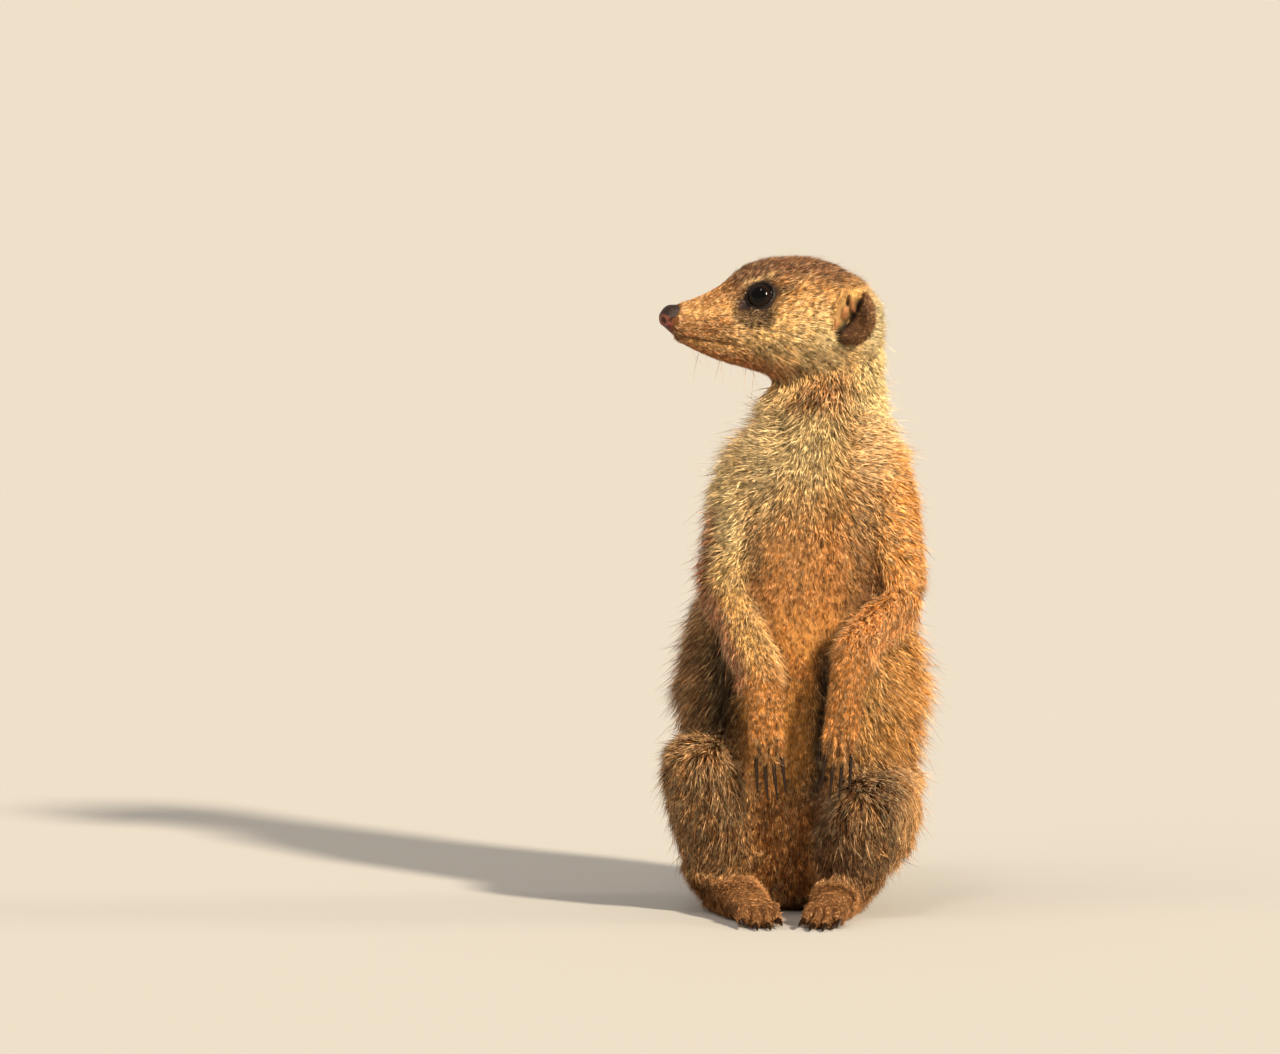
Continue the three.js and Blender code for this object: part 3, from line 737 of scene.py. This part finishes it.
s = np.abs(r[:, 1])
hole = np.linalg.norm((np.stack([r[:, 0], s, r[:, 2]], 1) - [3.4, 2.9, -0.4]) * [0.75, 1.0, 1.1], axis=1)
slit = np.hypot(r[:, 2] + 1.2 - 0.35 * (3.4 - r[:, 0]), (r[:, 0] - 1.8) * 0.45) + 3 * (s < 3)
dent = 1.7 * bell(hole, 1.2) + 0.8 * bell(slit, 0.75)
groove = 0.6 * bell(r[:, 1], 0.5) * ramp(0.8, -1.2, r[:, 2]) * (r[:, 0] > 0)
ring = 0.35 * bell(hole - 2.0, 0.6)
Q = out_of_head(NOSE_AT + r)
Q = spread(Q, QE, 4)
Q = Q - normals_of(Q, QT) * ((dent + groove - ring) * MM)[:, None]
earthy = ramp(3.8, 0.4, r[:, 0]) * ramp(1.6, -1.6, r[:, 2]) * (1 - bell(hole, 1.0))
nose_paint = painted(np.tile(linear("23140f"), (len(Q), 1)), [
    (earthy, "8e3a28", 0.6),
    (bell(hole - 1.9, 0.5), "a85c48", 0.5),
    # the nostrils and the middle groove painted near-black, as shade in their hollows
    (bell(hole, 1.1) + bell(slit, 0.6) + groove * 0.6, "0b0604", 1),
])

nose_finish, tree, shader = material(
    "bare damp nose skin", {"Roughness": 0.5, "Specular IOR Level": 0.35}
)
place = add_node(tree, "TexCoord")
pebble = add_node(
    tree, "TexVoronoi", {"Scale": 2200}, [("Vector", place, "Object")]
)
dust = add_node(tree, "TexNoise", {"Scale": 900, "Detail": 4}, [("Vector", place, "Object")])
lit = add_node(tree, "MapRange", {"To Min": 0.5, "To Max": 1.6}, [("Value", dust, "Fac")])
bump = add_node(
    tree, "Bump", {"Strength": 0.7, "Distance": 0.0003}, [("Height", pebble, "Distance")]
)
feed_markings(tree, shader, lit, "Result")
feed(tree, shader, "Normal", bump, "Normal")
cover(nose, Q, nose_finish)
attribute(nose.data, "Markings", nose_paint)
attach(nose, "root")
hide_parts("nose")

# ---------------------------------------------------------------- claws
# Long thin digging claws on the forefeet and short ones behind: near-black horn, round on
# top, drawn out lengthwise and worn smooth.

claw_finish, tree, shader = material("dark horn", {"Roughness": 0.22, "Specular IOR Level": 0.3})
place = add_node(tree, "TexCoord")
layers = add_node(tree, "Mapping", {"Scale": (1, 1, 0.2)}, [("Vector", place, "Object")])
lines = add_node(tree, "TexNoise", {"Scale": 1500, "Detail": 3}, [("Vector", layers, "Vector")])
horn = add_node(tree, "ValToRGB", (), [("Fac", lines, "Fac")])
horn.color_ramp.elements[0].position, horn.color_ramp.elements[1].position = 0.3, 0.75
horn.color_ramp.elements[0].color = (*linear("080504"), 1)
horn.color_ramp.elements[1].color = (*linear("2a1a10"), 1)
bump = add_node(
    tree, "Bump", {"Strength": 0.3, "Distance": 0.0001}, [("Height", lines, "Fac")]
)
feed(tree, shader, "Base Color", horn, "Color")
feed(tree, shader, "Normal", bump, "Normal")

CLAW_SWELL = {"hand": 0.1 * MM, "foot": 0.2 * MM}  # makes up for what the rounding takes off
for limb in ("hand", "foot"):
    for name in ("left", "right"):
        for digit in (1, 2, 3, 4):
            node = f"{limb}_claw_{name}_{digit}"
            claw = copies_of([node], f"{limb}_nail_{name}_{digit}")
            apply_modifier(claw, "DISPLACE", strength=CLAW_SWELL[limb], mid_level=0)
            apply_modifier(claw, "SUBSURF", levels=2, render_levels=2)
            cover(claw, None, claw_finish)
            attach(claw, "root")
            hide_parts(node)

# ---------------------------------------------------------------- coat
# Fine banded hair in thin pointed locks that overlap and lie along the body: very short on
# the face, ears and paws, short on the arms, longer on the back, haunches and tail, and
# standing out from the shoulders, nape and flanks. Neighbouring locks draw together at their
# tips and open gaps between one clump and the next; the locks at a clump's edge are painted
# darker, as shade in the gaps.

COAT_LIMIT = 195000  # triangles in one piece
ROOT_DEPTH, FLOOR_GAP = 0.3 * MM, 0.15 * MM  # how far a root is sunk and a hair kept off the floor
BAKE_PATCH = 0.003  # how wide a lock's patch of the OFBake map is

# The middle line of each limb, the body and the tail, in millimetres.
LINES = {
    "trunk": [(-4, 7, 0), (-4, 7, 55), (-3, 3, 103), (-1, -1, 126), (3, -1, 166), (7.4, 1.5, 191)],
    "neck": [(3, -1, 170), (7.4, 1.5, 191), (10, 2, 214)],
    "arm_right": [(-20, -6, 165), (-28, -22, 115), (-13, -40, 87), (-11, -44.5, 67), (-10, -46, 56.5)],
    "arm_left": [(27, -5, 165), (35.5, -16, 113), (19.5, -42, 97), (15.5, -47, 68.5),
                 (14.5, -48.5, 57.5)],
    "leg_right": [(-31, 16, 38), (-36, -34, 56), (-29, -15, 11), (-14, -51, 5.2), (-11, -65, 0.8)],
    "leg_left": [(23, 16, 34), (24, -35, 42), (14, -16, 11), (11, -51, 5.2), (9.5, -65, 0.8)],
    "tail": [(-3, 30, 14), (-4, 52, 13), (-10, 90, 12), (-18, 130, 10), (-17, 170, 9),
             (-7, 208, 7), (4, 232, 6)],
}
BONES = {"trunk": ("trunk", 0, 5), "neck": ("neck", 0, 2)}  # a line, and its stretches
for way in ("left", "right"):
    for limb, parts in (("arm", ["upper_arm", "forearm", "hand"]), ("leg", ["thigh", "shank", "foot"])):
        for i, part in enumerate(parts):
            BONES[f"{part}_{way}"] = (f"{limb}_{way}", i, i + 1 + (i == 2))
for part in ("tail_base", "tail_middle", "tail_tip"):
    BONES[part] = ("tail", 0, 6)


def follow(points, line, first, last):
    """The way of a line where each point is nearest to it, how far along that is, and the
    angle round it."""
    line = np.array(line, float)
    best = np.full(len(points), np.inf)
    way, run, turn = np.zeros((len(points), 3)), np.zeros(len(points)), np.zeros(len(points))
    lengths = np.concatenate([[0], np.cumsum(np.linalg.norm(np.diff(line, axis=0), axis=1))])
    for i in range(first, last):
        step = line[i + 1] - line[i]
        share = np.clip((points - line[i]) @ step / (step @ step), 0, 1)
        off = points - line[i] - share[:, None] * step
        gap = np.linalg.norm(off, axis=1)
        nearer = gap < best
        best[nearer] = gap[nearer]
        way[nearer] = unit(step)
        run[nearer] = (lengths[i] + share * np.linalg.norm(step))[nearer]
        one = unit(np.cross(step, [0.31, 1, 0.17]))
        two = unit(np.cross(step, one))
        turn[nearer] = np.arctan2(off @ two, off @ one)[nearer]
    return way, run, turn


# The lie of the coat, and where each point of the hide is on its unwrap: how far along its
# bone, and at what angle round it.
M = P / MM
L = in_head(P)
home = W.argmax(1)
lie, run, turn = np.zeros_like(P), np.zeros(len(P)), np.zeros(len(P))
outside = np.sign(X - middle) * ramp(2, 20, aside)
ruff = (trunk + neck) * ramp(150, 166, Z) * ramp(198, 188, Z) * ramp(4, 14, aside)
ruff *= ramp(0.9, 0.4, NY)
for label, node in enumerate(FLESH):
    if node in BONES:
        way, length_along, angle = follow(M, LINES[BONES[node][0]], *BONES[node][1:])
        way = way * (-1 if node in ("trunk", "neck") else 1)
        part = node.rsplit("_", 1)[0]
        if node == "trunk":
            way[:, 0] += outside * (0.25 + 0.85 * ramp(110, 150, Z) * front + 1.6 * ruff)
            way[:, 2] += 0.9 * ruff
            way[:, 1] += 0.35 * ramp(-0.2, 0.5, NY)
        elif node == "neck":
            way[:, 0] += outside * 1.0 * ruff
        elif part in ("upper_arm", "forearm", "thigh", "shank"):
            way[:, 0] += outside * (1.1 * ramp(100, 145, Z) if part == "upper_arm" else 0.45)
            way[:, 2] -= {"thigh": 1.1, "shank": 0.5}.get(part, 0)
    else:
        way = np.tile(np.array([-1, 0, 0]) @ HEAD_AXES, (len(P), 1))
        way[:, 2] -= 0.55 * ramp(6, -12, HZ) * ramp(50, 20, HX)
        if node.startswith("ear"):
            rimward = (folded(L) - EAR_AT) * [1, 0.2, 1]
            rimward[:, 1] *= np.sign(L[:, 1])
            way = unit(rimward @ HEAD_AXES) * 1.2 + 0.2 * way
        length_along, angle = 70 - HX, np.arctan2(L[:, 1], HZ)
    lie += W[:, label : label + 1] * unit(way)
    own = home == label
    run[own], turn[own] = length_along[own], angle[own]
lie = spread(lie, E, 8)
lie = unit(lie - N * (lie * N).sum(1)[:, None])

# How the coat grows on each part: its length and width in millimetres, its lift from the
# hide in degrees, and how many locks grow on a square millimetre.
GROWTH = {
    "trunk": (11.5, 0.42, 29, 1.2), "neck": (8.0, 0.34, 32, 3.3), "head": (4.6, 0.26, 26, 6.3),
    "jaw": (3.8, 0.24, 26, 8.0), "ear": (2.0, 0.20, 36, 9.0), "upper_arm": (8.8, 0.33, 34, 2.9),
    "forearm": (6.6, 0.27, 30, 3.8), "hand": (3.8, 0.24, 24, 6.5), "thigh": (9.5, 0.28, 18, 2.8),
    "shank": (9.0, 0.28, 17, 3.0), "foot": (3.6, 0.26, 14, 5.0), "tail_base": (8.5, 0.42, 26, 1.2),
    "tail_middle": (8.0, 0.42, 26, 1.2), "tail_tip": (7.0, 0.42, 24, 1.3),
}
growth = sum(share_of(part)[:, None] * np.array(values) for part, values in GROWTH.items())
length, width, lift, locks = spread(growth, E, 5).T
chest = trunk * ramp(-0.1, 0.6, -NY)
muzzle = ramp(24, 52, HX) * face
round_eye = before_eye * ramp(2.2, 1.2, oval)
nape = (neck + head * ramp(6, -4, HX)) * ramp(0.1, 0.7, NY + NX)
outward = ramp(0.45, 0.9, np.abs(NX))
length *= (1 - 0.36 * chest) * (1 - 0.45 * bare) * (1 - 0.35 * lower_belly) * (1 - 0.45 * crease)
length *= (1 + 0.35 * ruff) * (1 - 0.55 * muzzle * ramp(-14, -8, HZ)) * (1 - 0.55 * round_eye)
length *= 1 + upper_arm * outward * (0.2 * left_side - 0.2 * right_side)
length *= 1 - 0.35 * trunk * spread(shadow_beside_arm, E, 2)
knee = legs * ramp(0.2, 0.8, NZ) * ramp(-14, -28, Y)
length *= 1 - 0.25 * knee
fringe = forearm * ramp(0.4, 0.85, abs(NX))
length *= 1 + 0.35 * fringe
length *= 1 + 0.55 * head * ramp(4, -8, HZ) * (1 - muzzle)
shaggy = trunk * outward * ramp(120, 95, Z) * ramp(20, 45, Z)
length *= 1 + (0.3 + 0.3 * right_side) * shaggy
length *= 1 + 0.5 * cleft * hands + 0.9 * hands * ramp(64, 58, Z)
width *= (1 - 0.38 * chest) * (1 - 0.1 * bare) * (1 - 0.2 * muzzle)
lift *= 1 - 0.3 * knee
lift *= (1 - 0.4 * crease) * (1 - 0.35 * bare) * (1 - 0.2 * lower_belly) * (1 - 0.3 * muzzle)
lift *= (1 - 0.3 * round_eye) * (1 + 0.4 * trunk * outward + 0.25 * upper_arm * outward * left_side)
lift += 14 * ruff + 16 * nape + 10 * shaggy * right_side
# in the hollows over the hips and knees flat hairs would run into the hide
over_hip = (legs + trunk * ramp(82, 68, Z)) * ramp(0.1, 0.5, NZ)
over_hip = np.maximum(over_hip, feet * ramp(-46, -34, Y))
lift += 16 * over_hip
length = np.maximum(length, 5.5 * over_hip)
locks *= (1 + 1.0 * chest) * (1 + 0.25 * bare) * (1 + 1.1 * muzzle) * (1 - 0.5 * cleft * hands)
locks *= 1 + 0.5 * over_hip
before_lobes = (np.hypot(ear_x - 3.6, (ear_z - 1) / 2.6) < 2.2) & (ear > 0.2)
bare_places = (before_eye > 0.3) & (oval < 1.2) | (mouth > 0.85) | (ear * np.maximum(lobe, opening) > 0.25)
bare_places |= (np.linalg.norm((L - NOSE_AT) / [4.8, 5.4, 4.8], axis=1) < 1.04) | before_lobes
length *= 1 - 0.5 * face * ramp(13, 9, np.linalg.norm(L - EAR_AT, axis=1))
locks = np.where(bare_places, 0, locks) * ramp(-0.2, 0.6, Z)

# How many hairs have a dark or a pale tip.
dark_tips = (
    0.22 * trunk + 0.25 * trunk * ramp(0, 0.6, NY) + 0.32 * legs
    + 0.2 * share_of("upper_arm", "neck") + 0.18 * forearm + 0.28 * hands
    + 0.4 * nape * ramp(0.2, 0.7, NY) + 0.2 * tail
    - 0.12 * fringe
    + face * (0.2 + 0.2 * ramp(8, 16, HZ))
) * (1 - 0.4 * bare)
# fewer pale tips where shadow and shade are painted, and in the eye patch
pale_tips = (
    0.26 * trunk + 0.4 * legs + 0.34 * share_of("upper_arm", "neck") + 0.34 * share_of("forearm", "hand")
    + face * (0.28 - 0.18 * ramp(6, 12, HZ)) + 0.25 * ruff + 0.2 * high_chest * chest
    + 0.2 * tail + 0.3 * fringe
) * (1 - 0.85 * np.clip(trunk * (side_shadow + front * forearm_shadow + shadow_beside_arm) + before_eye * under, 0, 1))
TIP_DARK, TIP_PALE = linear("2a180d"), linear("f4e2b8")

# Hair that scatters most light at its tip; a soft sheen runs along each lock.
coat_finish, tree, shader = material("banded hair", {"Roughness": 0.6, "Specular IOR Level": 0.22})
place = add_node(tree, "TexCoord")
patchy = add_node(tree, "TexNoise", {"Scale": 90, "Detail": 3}, [("Vector", place, "Object")])
shade = add_node(tree, "MapRange", {"To Min": 0.8, "To Max": 1.2}, [("Value", patchy, "Fac")])
bands = add_node(tree, "TexNoise", {"Scale": 620, "Detail": 2}, [("Vector", place, "Object")])
ticking = add_node(
    tree, "MapRange", {"From Min": 0.3, "From Max": 0.7, "To Min": 0.35, "To Max": 1.7},
    [("Value", bands, "Fac")],
)
both = add_node(
    tree, "Math", {"operation": "MULTIPLY"}, [(0, shade, "Result"), (1, ticking, "Result")]
)
feed_markings(tree, shader, both, "Value")

corners = P[T]
AREA = np.linalg.norm(np.cross(corners[:, 1] - corners[:, 0], corners[:, 2] - corners[:, 0]), axis=1) / 2
random = np.random.default_rng(11)

# A lock's rings by their number: how far along each is, and how wide for its lock.
BLADES = {
    1: ([0, 1], [1]), 2: ([0, 0.5, 1], [0.85, 0.9]),
    5: ([0, 0.2, 0.4, 0.6, 0.8, 1], [1, 0.85, 0.7, 0.5, 0.3]),
}


def blades(name, rings, root, up, lay, reach, raised, half, pull, colours, place):
    """One mesh of solid pointed blades, each with three sides. They leave the hide at the
    raised angle and bend down along the lie."""
    count = len(root)
    shares, widths = BLADES[rings]
    across = np.cross(up, lay)
    curl = random.normal(0, 0.10, count)
    points = np.empty((count, 3 * rings + 1, 3))
    tints = np.empty((count, 3 * rings + 1, 3))
    rooted, marking, tip = colours
    for i, t in enumerate(shares):
        line = (
            root - up * ROOT_DEPTH
            + lay * (reach * t * np.cos(raised))[:, None]
            + up * (reach * np.sin(raised) * (t - 0.3 * t * t))[:, None]
            + across * (reach * curl * t * t)[:, None]
            + pull * t**1.4
        )
        shown = 0.3 + 0.7 * t if rings == 1 else t
        mix = rooted + (marking - rooted) * min(1, shown / 0.45)
        mix = mix + (tip - mix) * max(0, (shown - 0.4) / 0.6)
        if i == rings:
            points[:, -1], tints[:, -1] = line, mix
        else:
            wide = (half * widths[i])[:, None]
            points[:, 3 * i] = line - across * wide
            points[:, 3 * i + 1] = line + up * wide * 0.8
            points[:, 3 * i + 2] = line + across * wide
            tints[:, 3 * i : 3 * i + 3] = mix[:, None]
    points[:, :, 2] = np.maximum(points[:, :, 2], FLOOR_GAP)

    pattern = [(0, 1, 2)]
    for i in range(rings - 1):
        for j in range(3):
            p, q = 3 * i + j, 3 * i + (j + 1) % 3
            pattern += [(p, p + 3, q), (q, p + 3, q + 3)]
    last = 3 * (rings - 1)
    pattern += [(last + j, 3 * rings, last + (j + 1) % 3) for j in range(3)]
    triangles = np.array(pattern)[None] + (np.arange(count) * (3 * rings + 1))[:, None, None]
    triangles = triangles.reshape(-1, 3)

    # a patch of the unwrap for each lock, at its root's place
    patch_u = np.array([-0.5, 0.0, 0.5] * rings + [0.0]) * BAKE_PATCH
    patch_v = np.append(np.repeat(shares[:rings], 3), 1) * BAKE_PATCH
    uv = place[:, None] + np.stack([patch_u, patch_v], 1)[None]

    mesh = bpy.data.meshes.new(name)
    mesh.from_pydata(points.reshape(-1, 3), [], triangles)
    attribute(mesh, "Markings", np.clip(tints, 0, 1).reshape(-1, 3))
    layer = mesh.uv_layers.new(name="OFBake")
    layer.data.foreach_set("uv", uv.reshape(-1, 2)[triangles.ravel()].astype(np.float32).ravel())
    piece = bpy.data.objects.new(name, mesh)
    bpy.context.scene.collection.objects.link(piece)
    cover(piece, None, coat_finish)
    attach(piece, "root")


def grow(name, parts, slot, faces=True, rings=2, clump=7, share=1.0, stretch=1.0, rise=0, guard=0.04,
         thick=1.0, vary=1.0, tips=1.0):
    """Locks over the hide of these parts, drawn together in clumps of so many."""
    mine = (np.isin(home[T], labels_of(*parts)).sum(1) >= 2) & faces
    want = AREA / MM**2 * locks[T].mean(1) * mine * share
    count = int(min(want.sum(), COAT_LIMIT // (6 * rings - 2)))
    face = random.choice(len(T), count, p=want / want.sum())
    a, b = random.random((2, count))
    flip = a + b > 1
    a[flip], b[flip] = 1 - a[flip], 1 - b[flip]
    corner = np.stack([1 - a - b, a, b], 1)

    def at(values):
        values = values[T[face]]
        return (values * corner.reshape(corner.shape + (1,) * (values.ndim - 2))).sum(1)

    root, up = at(P), unit(at(N))
    seeds = root[::clump]
    finder = finder_of(seeds)
    mate = np.array([finder.find(p)[1] for p in root])
    pull = seeds[mate] - root
    apart = np.linalg.norm(pull, axis=1)
    apart = apart / apart.mean()
    stray = random.normal(0, 0.2, count) + random.normal(0, 0.2, len(seeds))[mate]
    lay = at(lie)
    lay = unit(lay - up * (lay * up).sum(1)[:, None])
    lay = lay * np.cos(stray)[:, None] + np.cross(up, lay) * np.sin(stray)[:, None]
    long = random.random(count) < guard
    reach = at(length) * MM * random.uniform(0.7, 1.2, count) * np.where(long, 1.5, 1) * stretch
    raised = at(lift) * random.uniform(0.75, 1.3, count) * (1.12 - 0.12 * apart)
    raised = np.radians(raised + np.where(long, 9, 0) + rise + random.normal(0, 3, len(seeds))[mate])
    half = at(width) * MM * random.uniform(0.38, 0.62, count) * np.where(long, 0.75, 1) * thick

    # dark at the root, the marking in the middle, and a tip that may be dark or pale
    # locks far from their clump's middle painted darker, as shade in the gaps between clumps
    bright = random.normal(0, 0.34, count) + random.normal(0, 0.24, len(seeds))[mate] - 0.34 * (apart - 1)
    bright = bright * vary - 0.06 * (vary - 1)
    warm = random.normal(0, 0.05, count)[:, None] * np.array([1, 0, -1])
    shine = np.maximum(bright, 0)  # the brighter a hair, the paler it is
    marking = at(coat) * np.exp(bright - 0.45 * shine)[:, None] * (1 + warm)
    marking = marking + TIP_PALE * 0.16 * shine[:, None]
    chance = random.random(count)
    dark, pale = chance < at(dark_tips) * tips, chance > 1 - at(pale_tips) * tips
    tip = marking * 1.08
    tip[dark] = marking[dark] * 0.3 + TIP_DARK * 0.5
    paler = np.minimum(0.62, 0.2 + 2.2 * at(coat)[pale].mean(1))
    tip[pale] = marking[pale] * 0.4 + TIP_PALE * paler[:, None]
    # no hair is whiter than this
    marking = marking * (0.84 / np.maximum(marking.max(1), 0.84))[:, None]
    tip = tip * (0.9 / np.maximum(tip.max(1), 0.9))[:, None]
    along, around = at(run), turn[T[face, 0]]
    place = np.stack([(v - v.min()) / max(np.ptp(v), 1e-6) for v in (around, along)], 1) * 0.97 + 0.01
    pull = pull * random.uniform(0.3, 0.85, count)[:, None]
    colours = (marking * 0.2, marking, tip)
    blades(name, rings, root, up, lay, reach, raised, half, pull, colours, place)


def of_faces(values):
    return values[T].mean(1)


backward, low, behind_eyes = of_faces(NY) > 0.1, of_faces(Z) < 112, of_faces(HX) < 18
grow("coat_back", ["trunk"], "body_coat", backward, share=0.72, vary=1.5)
grow("coat_chest", ["trunk"], "body_coat", ~backward & ~low, rings=1, clump=9, share=1.3, vary=1.9)
grow("coat_belly", ["trunk"], "body_coat", ~backward & low, rings=1, clump=9, share=1.3, vary=1.6)
high = (of_faces(Z) > 136) | (of_faces(aside) > 24)
LONG_TIPS = {"clump": 4, "stretch": 1.15, "rise": 4, "thick": 1.15}
BROAD_TIPS = {"stretch": 1.1, "rise": 2, "thick": 1.3, "tips": 1.5}
grow("tips_front", ["trunk"], "body_coat", ~backward & high, share=0.4, vary=1.9, tips=1.6, **LONG_TIPS)
grow("coat_neck", ["neck"], "body_coat", vary=1.7)
grow("coat_crown", ["head", "jaw"], "head_coat", behind_eyes, rings=1, clump=10, guard=0.03, vary=1.7)
grow("coat_face", ["head", "jaw"], "head_coat", ~behind_eyes, rings=1, clump=7, guard=0, vary=1.6)
grow("tips_head", ["head", "jaw"], "head_coat", rings=1, clump=3, share=0.16, vary=1.7, **BROAD_TIPS)
grow("coat_ears", ["ear"], "ear", rings=1, clump=6, guard=0)
for way in ("left", "right"):
    arm, leg = [f"upper_arm_{way}", f"forearm_{way}"], [f"thigh_{way}", f"shank_{way}"]
    grow(f"coat_arm_{way}", arm, "limb_coat", rings=1, clump=9, share=1.4, vary=1.9)
    grow(f"tips_arm_{way}", arm, "limb_coat", share=0.22, vary=1.8, tips=1.5, **LONG_TIPS)
    grow(f"coat_hand_{way}", [f"hand_{way}"], "limb_coat", rings=1, clump=6, vary=1.8)
    grow(f"coat_leg_{way}", leg, "body_coat", clump=12, share=0.8, vary=1.5)
    grow(f"tips_leg_{way}", leg, "body_coat", clump=4, share=0.2, vary=1.6, **BROAD_TIPS)
    grow(f"coat_foot_{way}", [f"foot_{way}"], "limb_coat", rings=1, clump=5, guard=0, vary=1.3)
grow("coat_tail", ["tail_base", "tail_middle", "tail_tip"], "tail_coat", share=0.86)

# ---------------------------------------------------------------- whiskers
# Stiff dark bristles in rows along the muzzle, a few over the eye and on the cheek, and long
# thin pale ones under the chin. Each is one curved, tapered hair set in the hide.

WHISKERS = {  # forward and up of the first and last root, how many, length, way in the head
    "upper": ((57, -0.5), (46, 1.5), 6, 19, (-0.75, 1.0, 0.1)),
    "middle": ((58, -2.6), (44, -2.0), 7, 22, (-0.8, 1.0, -0.15)),
    "lower": ((55, -5.2), (43, -5.6), 5, 17, (-0.75, 0.9, -0.4)),
    "brow": ((35, 15), (31, 15.5), 3, 8, (-0.6, 0.5, 0.8)),
    "cheek": ((21, -6), (18, -9), 2, 15, (-0.8, 0.9, -0.3)),
    "chin": ((56, -9.5), (33, -17), 7, 17, (-0.1, 0.25, -1.0)),
}
hide_finder = finder_of(P)
hide_tree = BVHTree.FromPolygons(P.tolist(), T.tolist())
for row, (first, last, count, long, way) in WHISKERS.items():
    roots, ups, lays = [], [], []
    for hand in (1, -1):
        for i in range(count):
            x, z = np.array(first) + (np.array(last) - first) * i / max(count - 1, 1)
            if row == "chin":
                start, aim = np.array([x, hand * 2.5, -40]), np.array([0, 0, 1.0])
            else:
                start, aim = np.array([x, hand * 40, z]), np.array([0, -hand, 0.0])
            start = start + random.normal(0, 0.35, 3)
            hit = hide_tree.ray_cast(Vector(out_of_head(start)), Vector(aim @ HEAD_AXES))[0]
            if hit is None:
                continue
            index = hide_finder.find(hit)[1]
            ways = unit((np.array(way) + random.normal(0, 0.2, 3)) * [1, hand, 1]) @ HEAD_AXES
            roots.append(hit), ups.append(N[index]), lays.append(ways)
    roots, ups, lays = np.array(roots), np.array(ups), np.array(lays)
    rise = (lays * ups).sum(1)
    flat = unit(lays - ups * rise[:, None])
    reach = long * MM * random.uniform(0.75, 1.1, len(roots))
    colour = linear("c9a468" if row == "chin" else "2e1c10")
    colours = [np.tile(colour, (len(roots), 1))] * 3
    index = np.array([hide_finder.find(p)[1] for p in roots])
    place = np.stack([(turn[index] + math.pi) / (2 * math.pi), run[index] / 90], 1) * 0.97 + 0.01
    blades(f"whiskers_{row}", 5, roots, ups, flat, reach, np.arcsin(np.clip(rise, 0.1, 0.98)),
           np.full(len(roots), 0.09 * MM), np.zeros((len(roots), 3)), colours, place)

# ---------------------------------------------------------------- floor, light and camera
# A plain pale floor that runs far past the animal, a soft warm key light from its left
# front, a wide pale fill, a small high light for the eye, and a long lens a little above
# the animal's waist.

deselect()
FLOOR_SIZE = 900  # in metres, so that no edge shows
bpy.ops.mesh.primitive_plane_add(size=FLOOR_SIZE, location=(0, 0, 0))
floor = bpy.context.active_object
floor.name = "floor"
board = {"Base Color": (*linear("b0aeac"), 1), "Roughness": 0.9}
floor.data.materials.append(material("matt painted board", board)[0])

world = bpy.data.worlds.new("studio")
bpy.context.scene.world = world
world.use_nodes = True
sky = world.node_tree.nodes["Background"].inputs
sky["Color"].default_value, sky["Strength"].default_value = (1.0, 0.92, 0.84, 1), 0.42


def towards(turn, height):
    """The way to a lamp or camera that stands this far round and this high, in degrees."""
    a, e = math.radians(turn), math.radians(height)
    return Vector((math.sin(a) * math.cos(e), -math.cos(a) * math.cos(e), math.sin(e)))


def sun(name, turn, height, strength, softness, colour):
    lamp = bpy.data.lights.new(name, "SUN")
    lamp.energy, lamp.angle, lamp.color = strength, math.radians(softness), colour
    holder = bpy.data.objects.new(name, lamp)
    holder.visible_glossy = softness < 30  # a wide light would show as a grey disc in the eye
    bpy.context.scene.collection.objects.link(holder)
    holder.rotation_euler = towards(turn, height).to_track_quat("Z", "Y").to_euler()


sun("key light", 44, 28, 7.2, 5, (1.0, 0.86, 0.64))
sun("side light", 98, 24, 1.0, 16, (1.0, 0.88, 0.7))
sun("fill light", -48, 30, 1.3, 60, (1.0, 0.86, 0.68))
sun("top light", -14, 60, 0.5, 10, (1.0, 0.95, 0.88))

scene = bpy.context.scene
scene.view_settings.view_transform = "Standard"
AZIMUTH, ELEVATION, DISTANCE, FRAME_WIDE = 6, 4, 2.8, 461 * MM
TARGET_RIGHT, TARGET_UP = -60.5 * MM, 137.2 * MM  # the middle of the frame
back_way = towards(AZIMUTH, ELEVATION)
right_way = towards(AZIMUTH + 90, 0)
up_way = back_way.cross(right_way)
lens = bpy.data.cameras.new("camera")
lens.lens = lens.sensor_width * DISTANCE / FRAME_WIDE
lens.clip_end = 600
camera = bpy.data.objects.new("camera", lens)
scene.collection.objects.link(camera)
target = right_way * TARGET_RIGHT + up_way * TARGET_UP
camera.location = target + back_way * DISTANCE
camera.rotation_euler = back_way.to_track_quat("Z", "Y").to_euler()
scene.camera = camera
